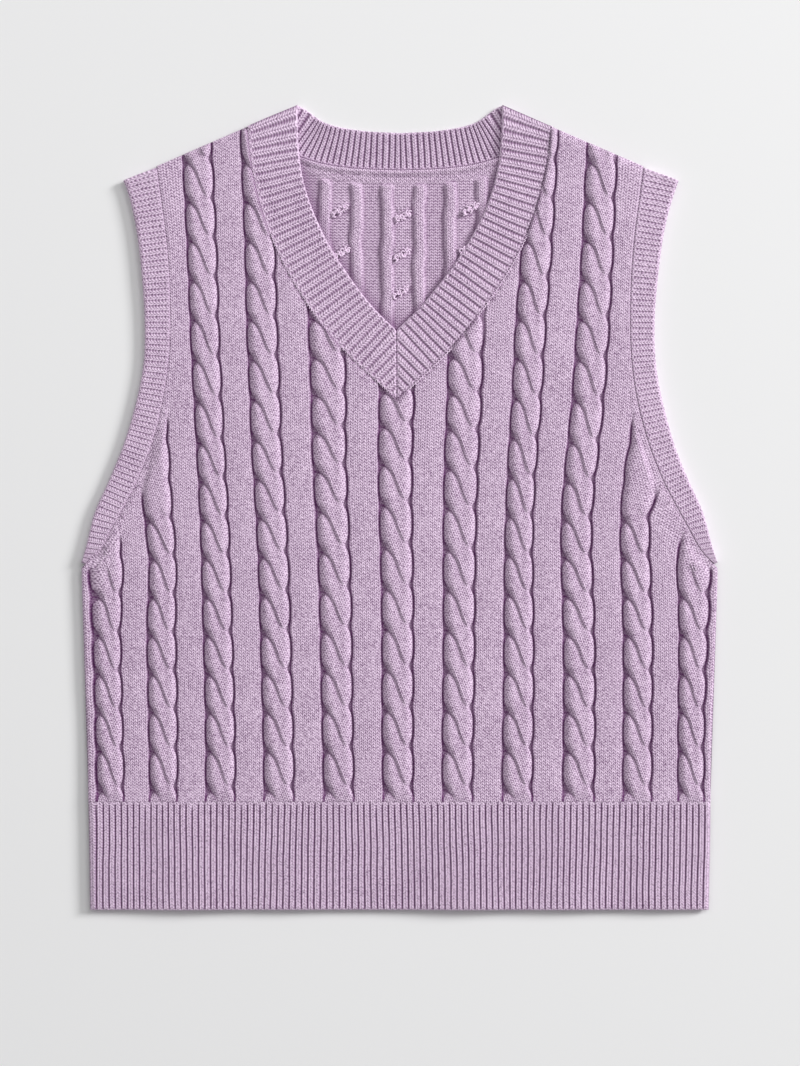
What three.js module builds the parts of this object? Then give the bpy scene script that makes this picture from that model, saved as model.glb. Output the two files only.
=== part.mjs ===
import * as THREE from 'three';

// A cable-knit V-neck sweater vest that lies flat on its back, in millimetres with +Z up.
// Across is X, from the middle of the chest. Up is measured from the hem edge to the shoulders.
// The origin is under the middle of the whole vest, on the surface that it lies on.

// Walls of cloth, and how they lie on each other
const BACK_WALL = 2.7;
const SEAM_GAP = 0.3;
const FRONT_INSIDE = BACK_WALL + SEAM_GAP;
const RIM_WALL = 1.3;
const RIM_ROUNDING = 2.5;

// The body of the front: plain knit, purl gutters and cables
const PLAIN_WALL = 2.6;
const PLAIN_CROWN = 0.3;
const GUTTER_WALL = 1.5;
const CABLE_WALL = 5.6;
const GUTTER_WIDTH = 2.4;
const CROSSING_PITCH = 28.6;
const FIRST_CROSSING_UP = 87.5;
const CREASE_START = 0.17;
const CREASE_RUN = 0.55;
const CREASE_FALL = 0.93;
const CREASE_BEND = 1.5;
const CREASE_DEPTH = 0.62;
const CREASE_TAIL = 0.2;
const CREASE_EDGE = 0.05;
const SIDE_ROLL_START = 204;
const SIDE_ROLL_SHARE = 0.55;

// Cables from the middle outwards, where the wales leave the hem rib
const CABLES = [
  { middle: 0, wide: 21.3 },
  { middle: 43.3, wide: 21.3 },
  { middle: 86.7, wide: 21.2 },
  { middle: 130.1, wide: 21.3 },
  { middle: 172.4, wide: 20.4 },
  { middle: 211.8, wide: 18.4 },
];

// Shares of a cable's width that carry a line of points, and of a crossing's length
const CABLE_LINES = [0, 0.2, 0.4, 0.6, 0.8, 1];
const CROSSING_STEPS = [0, 0.12, 0.55];

// The outline: hem, sides and shoulders
const RIB_DEPTH = 79;
const HEM_HALF = 225.4;
const BODY_HALF = 226.2;
const NECK_POINT = { across: 75.1, up: 587 };
const SHOULDER_TIP = { across: 200.5, up: 532.5 };

// How the wales fan out towards the shoulders, and lean to one side as the vest lies
const FAN_AT_SHOULDER = 16.8;
const FAN_LENGTH = 459;
const FAN_BEND = 1.5;
const FAN_FULL_FROM = 62;
const LEAN = [
  { up: 0, across: -1 },
  { up: 79, across: -1.5 },
  { up: 227, across: -2 },
  { up: 336, across: -3.4 },
  { up: 372, across: -2.8 },
  { up: 430, across: -2.8 },
  { up: 482, across: -1.5 },
  { up: 540, across: -0.5 },
  { up: 587, across: 0 },
];
const LEAN_FADE = { from: 95, to: 150 };

// Half widths of the armhole, at the seam with its band and at the band's free edge
const ARMHOLE = [
  { up: 249, seam: 230, edge: 230.8 },
  { up: 263, seam: 218.9, edge: 228 },
  { up: 278, seam: 210.6, edge: 225 },
  { up: 292, seam: 202.9, edge: 220.8 },
  { up: 314, seam: 191.6, edge: 210.5 },
  { up: 343, seam: 180.4, edge: 198.6 },
  { up: 372, seam: 172.6, edge: 190.5 },
  { up: 402, seam: 168.3, edge: 186 },
  { up: 431, seam: 167, edge: 184.9 },
  { up: 460, seam: 167.7, edge: 186.3 },
  { up: 489, seam: 170.2, edge: 189.9 },
  { up: 518, seam: 174.3, edge: 196 },
  { up: 542.4, seam: 177.8, edge: 203 },
];

// Half widths of the V-neck, at the seam with its band and at the band's free edge
const NECK_SEAM = [
  { up: 372.5, half: 0 },
  { up: 390, half: 19.3 },
  { up: 409, half: 39 },
  { up: 430, half: 56.6 },
  { up: 455, half: 73.6 },
  { up: 480, half: 87.4 },
  { up: 505, half: 97.6 },
  { up: 530, half: 104.7 },
  { up: 555, half: 109.3 },
  { up: 571.5, half: 110.8 },
];
const NECK_EDGE = [
  { up: 422.8, half: 0 },
  { up: 440, half: 17.4 },
  { up: 460, half: 33.2 },
  { up: 483, half: 48.6 },
  { up: 506, half: 60.4 },
  { up: 526, half: 67.9 },
  { up: 544, half: 72.1 },
  { up: 566, half: 74.4 },
  { up: 587, half: 75.1 },
];

// The back of the neck, at the seam with its band and at the band's free edge
const BACK_NECK = [
  { across: 0, seam: 539.5, edge: 567 },
  { across: 30, seam: 540.6, edge: 569 },
  { across: 55, seam: 544, edge: 574.5 },
  { across: 75.1, seam: 550.2, edge: 587 },
  { across: 95, seam: 560.5, edge: 587 },
  { across: 110.8, seam: 571.5, edge: 587 },
];

// The wales that run up beside the neckband and beside the armband
const NECK_WALE = { across: 88.8, eased_to: 97.3 };
const ARM_WALE = { across: 154.9, eased_from: 143.2 };
const ARM_WALE_MEETS_SEAM = 460;
const ARMHOLE_LINES = [156, 157.2, 158.5];
const EASED_STEP = 14;
const PLAIN_STEP = 42;

// Ribbed bands: two raised wales and one purl gutter in each rib
const RIB_CREST_WALL = 3.3;
const RIB_GUTTER_WALL = 2;
const HEM_RIBS = 97;
const NECK_RIB_PITCH = 4.65;
const ARM_RIB_PITCH = 4;
const MITRE_START = 4;
const RIM_STEP = 4;

// Where an armband's halves end, just short of the folds at the underarm and the shoulder
const ARM_BAND_ENDS = {
  seam: { from: 252.8, to: 540.4 },
  edge: { from: 254.4, to: 530.8 },
};
const ARM_FOLD_REACH = 1.6;
const SHOULDER_FOLD_WAY = [0.4, 0.917];
const UNDERARM_FOLD_WAY = [0.72, -0.694];

// The hem edge lifts off the surface in a few soft waves
const HEM_WAVES = [
  { across: -158, wide: 34, lift: 2.2 },
  { across: -82, wide: 22, lift: 0.9 },
  { across: 48, wide: 30, lift: 2 },
  { across: 117, wide: 32, lift: 1.7 },
  { across: 190, wide: 20, lift: 1 },
];

// Backs of the purl gutters, raised inside the back where the V-neck shows it
const BACK_CABLE_MIDDLES = [-42.9, 2.6, 48.1];
const BACK_GUTTER_OFFSET = 11.6;
const RIDGE_HALF = 3.6;
const RIDGE_RISE = 1;
const RIDGE_TAPER = 6;
const RIDGE_TOP_UP = 531;
const RIDGE_CLEAR_OF_BAND = 9;

const YARN = { light: 0xd6b9db, rib: 0xcfb0d4, shaded: 0xc3a3c8 };

// A smooth value between the rows of a table
function read(table, column, at, key = 'up') {
  const last = table.length - 2;
  let row = 0;
  while (row < last && at > table[row + 1][key]) {
    row += 1;
  }
  const before = table[Math.max(0, row - 1)];
  const low = table[row];
  const high = table[row + 1];
  const after = table[Math.min(table.length - 1, row + 2)];
  const span = high[key] - low[key];
  const share = THREE.MathUtils.clamp((at - low[key]) / span, 0, 1);
  const slopeLow = (high[column] - before[column]) / (high[key] - before[key]) * span;
  const slopeHigh = (after[column] - low[column]) / (after[key] - low[key]) * span;
  const rise = high[column] - low[column];
  const curve = slopeLow * share * (1 - share) ** 2 - slopeHigh * (1 - share) * share ** 2;
  return low[column] + rise * share * share * (3 - 2 * share) + curve;
}

// The height at which a rising function reaches zero
function crossing(below, low, high) {
  let bottom = low;
  let top = high;
  for (let halving = 0; halving < 40; halving += 1) {
    const middle = (bottom + top) / 2;
    if (below(middle)) {
      bottom = middle;
    } else {
      top = middle;
    }
  }
  return (bottom + top) / 2;
}

function fade(value, from, to) {
  return 1 - THREE.MathUtils.smoothstep(value, from, to);
}

function fan(up) {
  return FAN_AT_SHOULDER * (Math.max(0, up - RIB_DEPTH) / FAN_LENGTH) ** FAN_BEND;
}

function shoulderUp(across) {
  const slope = (SHOULDER_TIP.up - NECK_POINT.up) / (SHOULDER_TIP.across - NECK_POINT.across);
  return NECK_POINT.up + slope * (Math.abs(across) - NECK_POINT.across);
}

// Half width reached by a wale of the front, before the lean
function frontHalf(wale, up) {
  const plain = wale + fan(up) * Math.min(1, wale / FAN_FULL_FROM);
  const arm = armEase(wale, up);
  if (up <= neckWaleMeetsSeam || wale < NECK_WALE.across || wale > NECK_WALE.eased_to) {
    return plain + arm;
  }
  const share = (NECK_WALE.eased_to - wale) / (NECK_WALE.eased_to - NECK_WALE.across);
  return plain + share * (read(NECK_SEAM, 'half', up) - fan(up) - NECK_WALE.across);
}

// Above the armhole's narrowest place the outer plain strip is eased along the seam
function armEase(wale, up) {
  if (up <= ARM_WALE_MEETS_SEAM || wale < ARM_WALE.eased_from || wale > ARM_WALE.across) {
    return 0;
  }
  const share = (wale - ARM_WALE.eased_from) / (ARM_WALE.across - ARM_WALE.eased_from);
  return share * (read(ARMHOLE, 'seam', up) - fan(up) - ARM_WALE.across);
}

// Half width reached by a wale of the back, whose middle runs straight up
function backHalf(wale, up) {
  return wale + fan(up) * THREE.MathUtils.smoothstep(wale, 66, 135) + armEase(wale, up);
}

function leanAt(wale, up) {
  return read(LEAN, 'across', up) * fade(wale, LEAN_FADE.from, LEAN_FADE.to);
}

const neckWaleMeetsSeam = crossing(
  (up) => NECK_WALE.across + fan(up) > read(NECK_SEAM, 'half', up),
  480,
  560,
);

// A closed solid, collected as numbered corners and three-sided faces
class Solid {
  constructor() {
    this.corners = [];
    this.faces = [];
    this.known = new Map();
  }

  corner(point) {
    const key = point.xyz.map((value) => Math.round(value * 1000)).join(' ');
    if (!this.known.has(key)) {
      this.known.set(key, this.corners.length / 3);
      this.corners.push(...point.xyz);
    }
    return this.known.get(key);
  }

  face(...points) {
    const numbers = points.map((point) => this.corner(point));
    if (new Set(numbers).size === 3) {
      this.faces.push(...numbers);
    }
  }

  // Faces between two lines of points. Seen from outside, both lines run away
  // from the viewer, the first on the left, and `by` names what orders the points.
  weave(left, right, by = 'up') {
    let i = 0;
    let j = 0;
    while (i < left.length - 1 || j < right.length - 1) {
      const rightDone = j === right.length - 1;
      const leftNext = i < left.length - 1 && (rightDone || left[i + 1][by] <= right[j + 1][by]);
      if (leftNext) {
        this.face(left[i], right[j], left[i + 1]);
        i += 1;
      } else {
        this.face(left[i], right[j], right[j + 1]);
        j += 1;
      }
    }
  }

  cap(points) {
    for (let i = 1; i < points.length - 1; i += 1) {
      this.face(points[0], points[i], points[i + 1]);
    }
  }

  // The finished mesh, turned over to the other side of the body when mirrored
  mesh(name, color, { mirrored = false, leaning = false } = {}) {
    const side = mirrored ? -1 : 1;
    const places = [];
    for (let i = 0; i < this.corners.length; i += 3) {
      const [across, up, rise] = this.corners.slice(i, i + 3);
      const lean = leaning ? leanAt(Math.abs(across), up) : 0;
      places.push(across * side + lean, up, rise);
    }
    const order = mirrored ? this.faces.slice().reverse() : this.faces;
    const geometry = new THREE.BufferGeometry();
    geometry.setAttribute('position', new THREE.Float32BufferAttribute(places, 3));
    geometry.setIndex(order);
    geometry.computeVertexNormals();
    const material = new THREE.MeshStandardMaterial({ color, roughness: 0.95, metalness: 0 });
    const mesh = new THREE.Mesh(geometry, material);
    mesh.name = name;
    return mesh;
  }
}

// Where the crease below an over-crossing has come down to, at a share of the cable's width
function creaseFall(share) {
  const run = THREE.MathUtils.clamp((share - CREASE_START) / CREASE_RUN, 0, 1);
  return CREASE_FALL * run ** CREASE_BEND;
}

function crossingPhase(share, up) {
  return (up - FIRST_CROSSING_UP) / CROSSING_PITCH + creaseFall(share);
}

// Wall through a cable: strands that cross from upper left to lower right. Each one
// starts with a full round edge under a crease, and sinks slowly towards the next one.
function cableWall(share, up) {
  const dome = 1 - Math.abs(2 * share - 1) ** 3.5;
  const phase = crossingPhase(share, up);
  const above = phase - Math.floor(phase);
  const valley = Math.max(Math.exp(-above / CREASE_TAIL), Math.exp((above - 1) / CREASE_EDGE));
  const depth = CREASE_DEPTH * fade(share, 0.45, 1.15);
  return GUTTER_WALL + (CABLE_WALL - GUTTER_WALL) * dome * (1 - depth * valley);
}

function cableAt(wale) {
  for (const cable of CABLES) {
    for (const side of cable.middle === 0 ? [1] : [-1, 1]) {
      const share = (wale - side * cable.middle) / cable.wide + 0.5;
      if (share >= -1e-6 && share <= 1 + 1e-6) {
        return THREE.MathUtils.clamp(share, 0, 1);
      }
    }
  }
  return null;
}

function gutterDistance(wale) {
  const size = Math.abs(wale);
  return Math.min(...CABLES.map((cable) => Math.abs(size - cable.middle) - cable.wide / 2));
}

function frontWall(wale, up) {
  const share = cableAt(wale);
  const size = Math.abs(wale);
  const past = Math.max(0, (size - SIDE_ROLL_START) / (BODY_HALF - SIDE_ROLL_START));
  const roll = 1 - SIDE_ROLL_SHARE * past * past;
  if (share !== null) {
    return cableWall(share, up) * roll;
  }
  const into = gutterDistance(wale);
  const bank = THREE.MathUtils.smoothstep(Math.abs(into - GUTTER_WIDTH / 2), 0, GUTTER_WIDTH / 2);
  const crown = PLAIN_CROWN * THREE.MathUtils.smoothstep(into, GUTTER_WIDTH, 4 * GUTTER_WIDTH);
  const plain = GUTTER_WALL + (PLAIN_WALL - GUTTER_WALL) * (into < 0 ? 0 : bank);
  return (plain + crown) * roll;
}

// Wales that carry a line of points, from one side of the front to the other
function frontWales() {
  const half = [];
  CABLES.forEach((cable, number) => {
    const inner = cable.middle - cable.wide / 2;
    const outer = cable.middle + cable.wide / 2;
    if (number > 0) {
      half.push(inner - GUTTER_WIDTH, inner - GUTTER_WIDTH / 2);
    }
    const next = CABLES[number + 1];
    half.push(outer + GUTTER_WIDTH / 2, outer + GUTTER_WIDTH);
    if (next) {
      half.push((outer + next.middle - next.wide / 2) / 2);
    }
  });
  const plainBesideArm = (width) => Math.abs(width - ARM_WALE.across) < 5;
  const lines = half.filter((wale) => !plainBesideArm(wale) || wale > 159);
  lines.push(ARM_WALE.across, ...ARMHOLE_LINES, BODY_HALF);
  const wales = lines.flatMap((wale) => [-wale, wale]);
  wales.push(0);
  for (const cable of CABLES) {
    for (const side of cable.middle === 0 ? [1] : [-1, 1]) {
      for (const share of CABLE_LINES) {
        wales.push(side * cable.middle + (share - 0.5) * cable.wide);
      }
    }
  }
  const nearest = [-NECK_WALE.across, NECK_WALE.across];
  const kept = wales.filter((wale) => nearest.every((mark) => Math.abs(wale - mark) > 1));
  return [...kept, ...nearest].sort((a, b) => a - b);
}

// The height at which a wale of the front ends, at the neck, the shoulder or the armhole
function frontTop(wale) {
  const size = Math.abs(wale);
  if (size < NECK_WALE.across) {
    return crossing((up) => frontHalf(size, up) > read(NECK_SEAM, 'half', up), 372.5, 560);
  }
  if (size <= ARM_WALE.across) {
    return crossing((up) => up < shoulderUp(frontHalf(size, up)), 480, 600);
  }
  return crossing((up) => frontHalf(size, up) < read(ARMHOLE, 'seam', up), 249, 460);
}

// Heights of the points on one wale between the rims at its two ends
function frontHeights(wale, bottom, top) {
  const share = cableAt(wale);
  const heights = [];
  if (share === null) {
    const steps = Math.max(1, Math.round((top - bottom) / PLAIN_STEP));
    for (let step = 1; step < steps; step += 1) {
      heights.push(bottom + (top - bottom) * step / steps);
    }
  } else {
    const first = Math.floor(crossingPhase(share, bottom));
    const last = Math.ceil(crossingPhase(share, top));
    for (let number = first; number <= last; number += 1) {
      for (const step of CROSSING_STEPS) {
        const phase = number + 1 - step - creaseFall(share);
        heights.push(FIRST_CROSSING_UP + CROSSING_PITCH * phase);
      }
    }
  }
  const clear = heights.filter((up) => up > bottom + RIM_ROUNDING * 2 && up < top - RIM_ROUNDING * 2);
  return clear.sort((a, b) => a - b);
}

// One line of points up a panel: its outer points, and the plain points inside the wall
function panelLine({ wale, bottom, top, heights, half, wall, rimWall, inside, meets, share }) {
  const put = (up, rise) => {
    const across = Math.sign(wale) * half(Math.abs(wale), up);
    const lean = half === frontHalf ? leanAt(Math.abs(wale), up) : 0;
    const phase = share === null ? up : crossingPhase(share, up);
    return { up, phase, xyz: [across + lean, up, rise] };
  };
  const eased = [];
  if (meets !== null) {
    for (let up = meets; up < top - EASED_STEP / 2; up += EASED_STEP) {
      eased.push(up);
    }
  }
  const full = [bottom + RIM_ROUNDING, ...heights, ...eased.slice(1), top - RIM_ROUNDING];
  const sorted = full.sort((a, b) => a - b);
  const rim = (up) => inside + Math.min(rimWall, wall(wale, up));
  const outer = [put(bottom, rim(bottom))];
  for (const up of sorted) {
    const onSeam = meets !== null && up > meets;
    outer.push(put(up, onSeam ? rim(up) : inside + wall(wale, up)));
  }
  outer.push(put(top, rim(top)));
  if (meets !== null) {
    outer.push(put(meets, rim(meets)));
    outer.sort((a, b) => a.up - b.up);
  }
  const edges = [bottom, ...eased, top];
  const plain = edges.map((up) => put(up, inside));
  const apart = outer.filter((point) => meets !== null && point.up >= meets);
  const insideApart = plain.filter((point) => meets !== null && point.up >= meets);
  const before = (line) => line.filter((point) => meets === null || point.up <= meets);
  return {
    wale,
    share,
    outer,
    plain,
    lowerOuter: before(outer),
    lowerPlain: before(plain),
    apart,
    insideApart,
  };
}

// A panel from its lines. Beside the neck and the armhole a line runs on along the
// seam, and there it is bare on the side away from the shoulder strap.
function panelSolid(lines) {
  const solid = new Solid();
  for (let i = 0; i < lines.length - 1; i += 1) {
    const [a, b] = [lines[i], lines[i + 1]];
    const strap = (line) => {
      const size = Math.abs(line.wale);
      return size >= NECK_WALE.across - 1e-6 && size <= ARM_WALE.across + 1e-6;
    };
    const whole = strap(a) && strap(b) && Math.sign(a.wale) === Math.sign(b.wale);
    const by = a.share !== null && b.share !== null ? 'phase' : 'up';
    const [outerA, outerB] = [a, b].map((line) => (whole ? line.outer : line.lowerOuter));
    const [plainA, plainB] = [a, b].map((line) => (whole ? line.plain : line.lowerPlain));
    solid.weave(outerA, outerB, by);
    solid.weave(plainB, plainA);
    solid.weave([outerA[0], outerB[0]], [plainA[0], plainB[0]]);
    solid.weave([plainA.at(-1), plainB.at(-1)], [outerA.at(-1), outerB.at(-1)]);
  }
  solid.weave(lines[0].plain, lines[0].outer);
  solid.weave(lines.at(-1).outer, lines.at(-1).plain);
  for (const line of lines.filter((each) => each.apart.length > 0)) {
    const faceRight = line.wale > 0 === Math.abs(line.wale) > NECK_WALE.across + 1;
    if (faceRight) {
      solid.weave(line.apart, line.insideApart);
    } else {
      solid.weave(line.insideApart, line.apart);
    }
  }
  return solid;
}

function meetsSeam(wale) {
  const size = Math.abs(wale);
  if (size === NECK_WALE.across) {
    return neckWaleMeetsSeam;
  }
  return size === ARM_WALE.across ? ARM_WALE_MEETS_SEAM : null;
}

function frontPanel() {
  const bottom = RIB_DEPTH + SEAM_GAP / 2;
  const lines = frontWales().map((wale) => {
    const top = frontTop(wale);
    return panelLine({
      wale,
      bottom,
      top,
      heights: frontHeights(wale, bottom, top),
      half: frontHalf,
      wall: frontWall,
      rimWall: RIM_WALL,
      inside: FRONT_INSIDE,
      meets: meetsSeam(wale),
      share: cableAt(wale),
    });
  });
  return panelSolid(lines).mesh('front_panel', YARN.light);
}

// The lowest height at which a ridge shows inside the V-neck
function ridgeFoot(across) {
  const reach = (up) => Math.abs(across - leanAt(0, up)) + RIDGE_CLEAR_OF_BAND;
  return crossing((up) => read(NECK_EDGE, 'half', up) < reach(up), 422.8, 560);
}

function backTop(wale) {
  if (wale <= backCornerWale) {
    return crossing((up) => up < read(BACK_NECK, 'seam', backHalf(wale, up), 'across'), 500, 600);
  }
  if (wale <= ARM_WALE.across) {
    return crossing((up) => up < shoulderUp(backHalf(wale, up)), 480, 600);
  }
  return crossing((up) => backHalf(wale, up) < read(ARMHOLE, 'seam', up), 249, 460);
}

function backPanel() {
  const bottom = RIB_DEPTH + SEAM_GAP / 2;
  const outer = [66, 73, 80, 86, 92, 98, backCornerWale, 118, ARM_WALE.eased_from, ARM_WALE.across];
  outer.push(...ARMHOLE_LINES, 162, 168, 176, 186, 195, 203, 210, 216, 221, BODY_HALF);
  const sides = [-RIDGE_HALF, 0, RIDGE_HALF];
  const ridged = BACK_WALL + RIDGE_RISE;
  const ridges = backRidgeMiddles.flatMap((middle) => sides.map((side) => middle + side));
  const wales = [...ridges, ...outer, ...outer.map((wale) => -wale)].sort((a, b) => a - b);
  const lines = wales.map((wale) => {
    const top = backTop(Math.abs(wale));
    const crest = backRidgeMiddles.includes(wale);
    const ridge = backRidgeMiddles.find((middle) => Math.abs(middle - wale) < RIDGE_HALF * 1.01);
    const foot = ridgeFoot(ridge ?? 0);
    const ends = [foot - RIDGE_TAPER, foot, RIDGE_TOP_UP, RIDGE_TOP_UP + RIDGE_TAPER];
    return panelLine({
      wale,
      bottom,
      top,
      heights: ridge === undefined ? [] : ends,
      half: backHalf,
      wall: (_, up) => (crest && up >= foot && up <= RIDGE_TOP_UP ? ridged : BACK_WALL),
      rimWall: BACK_WALL,
      inside: 0,
      meets: Math.abs(wale) === ARM_WALE.across ? ARM_WALE_MEETS_SEAM : null,
      share: null,
    });
  });
  return panelSolid(lines).mesh('back_panel', YARN.shaded);
}

// A line through many points, read by the share of its length
function rail(points) {
  const lengths = [0];
  for (let i = 1; i < points.length; i += 1) {
    const step = Math.hypot(points[i][0] - points[i - 1][0], points[i][1] - points[i - 1][1]);
    lengths.push(lengths[i - 1] + step);
  }
  const whole = lengths.at(-1);
  const at = (share) => {
    const reach = THREE.MathUtils.clamp(share, 0, 1) * whole;
    const next = Math.max(1, lengths.findIndex((length) => length >= reach - 1e-9));
    const part = (reach - lengths[next - 1]) / (lengths[next] - lengths[next - 1]);
    return [0, 1].map((axis) => THREE.MathUtils.lerp(points[next - 1][axis], points[next][axis], part));
  };
  return { at, whole };
}

function sampled(from, to, steps, place) {
  return Array.from({ length: steps + 1 }, (_, step) => place(from + (to - from) * step / steps));
}

// The same line moved sideways, to the left of the way it runs when the distance is positive
function movedAside(points, distance) {
  return points.map((point, i) => {
    const before = points[Math.max(0, i - 1)];
    const after = points[Math.min(points.length - 1, i + 1)];
    const run = [after[0] - before[0], after[1] - before[1]];
    const size = Math.hypot(...run);
    return [point[0] - run[1] / size * distance, point[1] + run[0] / size * distance];
  });
}

// Shares along a band: its ribs and gutters, and the fewer points of its rims
function ribShares(ribs) {
  return sampled(0, 1, ribs * 2, (share) => share);
}

function rimShares(ribs) {
  return ribShares(ribs).filter((_, i, all) => i % RIM_STEP === 0 || i === all.length - 1);
}

function ribWall(index, crestWall, gutterWall) {
  return index % 2 === 1 ? crestWall : gutterWall;
}

// A place on a band: a share along it, and a distance in from its seam or its free edge
function bandPlace(seam, edge, along, inFrom) {
  const a = seam(along);
  const b = edge(along);
  const width = Math.hypot(b[0] - a[0], b[1] - a[1]);
  const inset = Math.min(0.3, RIM_ROUNDING / width);
  const part = { seam: 0, near_seam: inset, near_edge: 1 - inset, edge: 1 }[inFrom];
  return { part, xy: [0, 1].map((axis) => THREE.MathUtils.lerp(a[axis], b[axis], part)) };
}

// A ribbed band as rows of points that run along it, round its section from the
// seam over the ribs to the free edge and back underneath. The seam is on the left.
function band({ seam, edge, ribs, floor, crestWall, gutterWall, lift = () => 0 }) {
  const row = (shares, inFrom, rise) => shares.map((along, index) => {
    const { part, xy } = bandPlace(seam, edge, along, inFrom);
    return { at: along, xyz: [...xy, floor + rise(index) + lift(xy[0]) * part] };
  });
  const ribbed = (index) => ribWall(index, crestWall, gutterWall);
  const dense = ribShares(ribs);
  const sparse = rimShares(ribs);
  const rows = [
    row(sparse, 'seam', () => RIM_WALL),
    row(dense, 'near_seam', ribbed),
    row(dense, 'near_edge', ribbed),
    row(sparse, 'edge', () => RIM_WALL),
    row(sparse, 'edge', () => 0),
    row(sparse, 'seam', () => 0),
  ];
  const solid = new Solid();
  rows.forEach((line, i) => solid.weave(line, rows[(i + 1) % rows.length], 'at'));
  solid.cap(rows.map((line) => line[0]).reverse());
  solid.cap(rows.map((line) => line.at(-1)));
  return solid;
}

function liftOfHem(across) {
  const waves = HEM_WAVES.map((wave) => wave.lift * Math.exp(-(((across - wave.across) / wave.wide) ** 2)));
  return waves.reduce((sum, lift) => sum + lift, 0);
}

function frontHemRib() {
  const seamUp = RIB_DEPTH - SEAM_GAP / 2;
  return band({
    seam: (along) => [BODY_HALF * (2 * along - 1), seamUp],
    edge: (along) => [HEM_HALF * (2 * along - 1), 0],
    ribs: HEM_RIBS,
    floor: FRONT_INSIDE,
    crestWall: RIB_CREST_WALL,
    gutterWall: RIB_GUTTER_WALL,
    lift: liftOfHem,
  }).mesh('front_hem_rib', YARN.rib);
}

function backHemRib() {
  const seamUp = RIB_DEPTH - SEAM_GAP / 2;
  const outline = new THREE.Shape();
  outline.moveTo(-HEM_HALF, 0);
  outline.lineTo(HEM_HALF, 0);
  outline.lineTo(BODY_HALF, seamUp);
  outline.lineTo(-BODY_HALF, seamUp);
  const geometry = new THREE.ExtrudeGeometry(outline, { depth: BACK_WALL, bevelEnabled: false });
  const material = new THREE.MeshStandardMaterial({ color: YARN.shaded, roughness: 0.95, metalness: 0 });
  const mesh = new THREE.Mesh(geometry, material);
  mesh.name = 'back_hem_rib';
  return mesh;
}

// Half of the V's band, from the shoulder down to the mitre at the centre front.
// Its last ribs end on the mitre line, which joins the two points of the V.
function neckband(name, mirrored) {
  const top = NECK_SEAM.at(-1).up;
  const point = NECK_SEAM[0].up;
  const innerPoint = NECK_EDGE[0].up;
  const seamLine = sampled(top, point, 50, (up) => [read(NECK_SEAM, 'half', up), up]);
  const seam = rail(movedAside(seamLine, -SEAM_GAP));
  const clear = SEAM_GAP / 2;
  const edgeLine = (up) => [Math.max(clear, read(NECK_EDGE, 'half', up)), up];
  const edge = rail(sampled(NECK_POINT.up, innerPoint, 50, edgeLine));
  const mitre = innerPoint - point;
  const mitreFoot = mitre / Math.SQRT2;
  const corner = (seam.whole - mitreFoot) / seam.whole;
  const end = 1 - MITRE_START / seam.whole;
  const edgeAt = (along) => {
    const share = along * end;
    if (share <= corner) {
      return edge.at(share / corner);
    }
    return [clear, innerPoint - mitre * (share - corner) / (1 - corner)];
  };
  return band({
    seam: (along) => seam.at(along * end),
    edge: edgeAt,
    ribs: Math.round(seam.whole / NECK_RIB_PITCH),
    floor: FRONT_INSIDE,
    crestWall: RIB_CREST_WALL,
    gutterWall: RIB_GUTTER_WALL,
  }).mesh(name, YARN.rib, { mirrored, leaning: true });
}

function neckbandBack() {
  const reach = NECK_SEAM.at(-1).half;
  const seamLine = sampled(reach, -reach, 60, (across) => [
    across,
    read(BACK_NECK, 'seam', Math.abs(across), 'across'),
  ]);
  const seam = rail(movedAside(seamLine, -SEAM_GAP));
  const edge = rail(sampled(NECK_POINT.across, -NECK_POINT.across, 60, (across) => [
    across,
    read(BACK_NECK, 'edge', Math.abs(across), 'across'),
  ]));
  return band({
    seam: seam.at,
    edge: edge.at,
    ribs: Math.round(seam.whole / NECK_RIB_PITCH),
    floor: 0,
    crestWall: BACK_WALL,
    gutterWall: RIM_WALL,
  }).mesh('neckband_back', YARN.rib);
}

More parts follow.
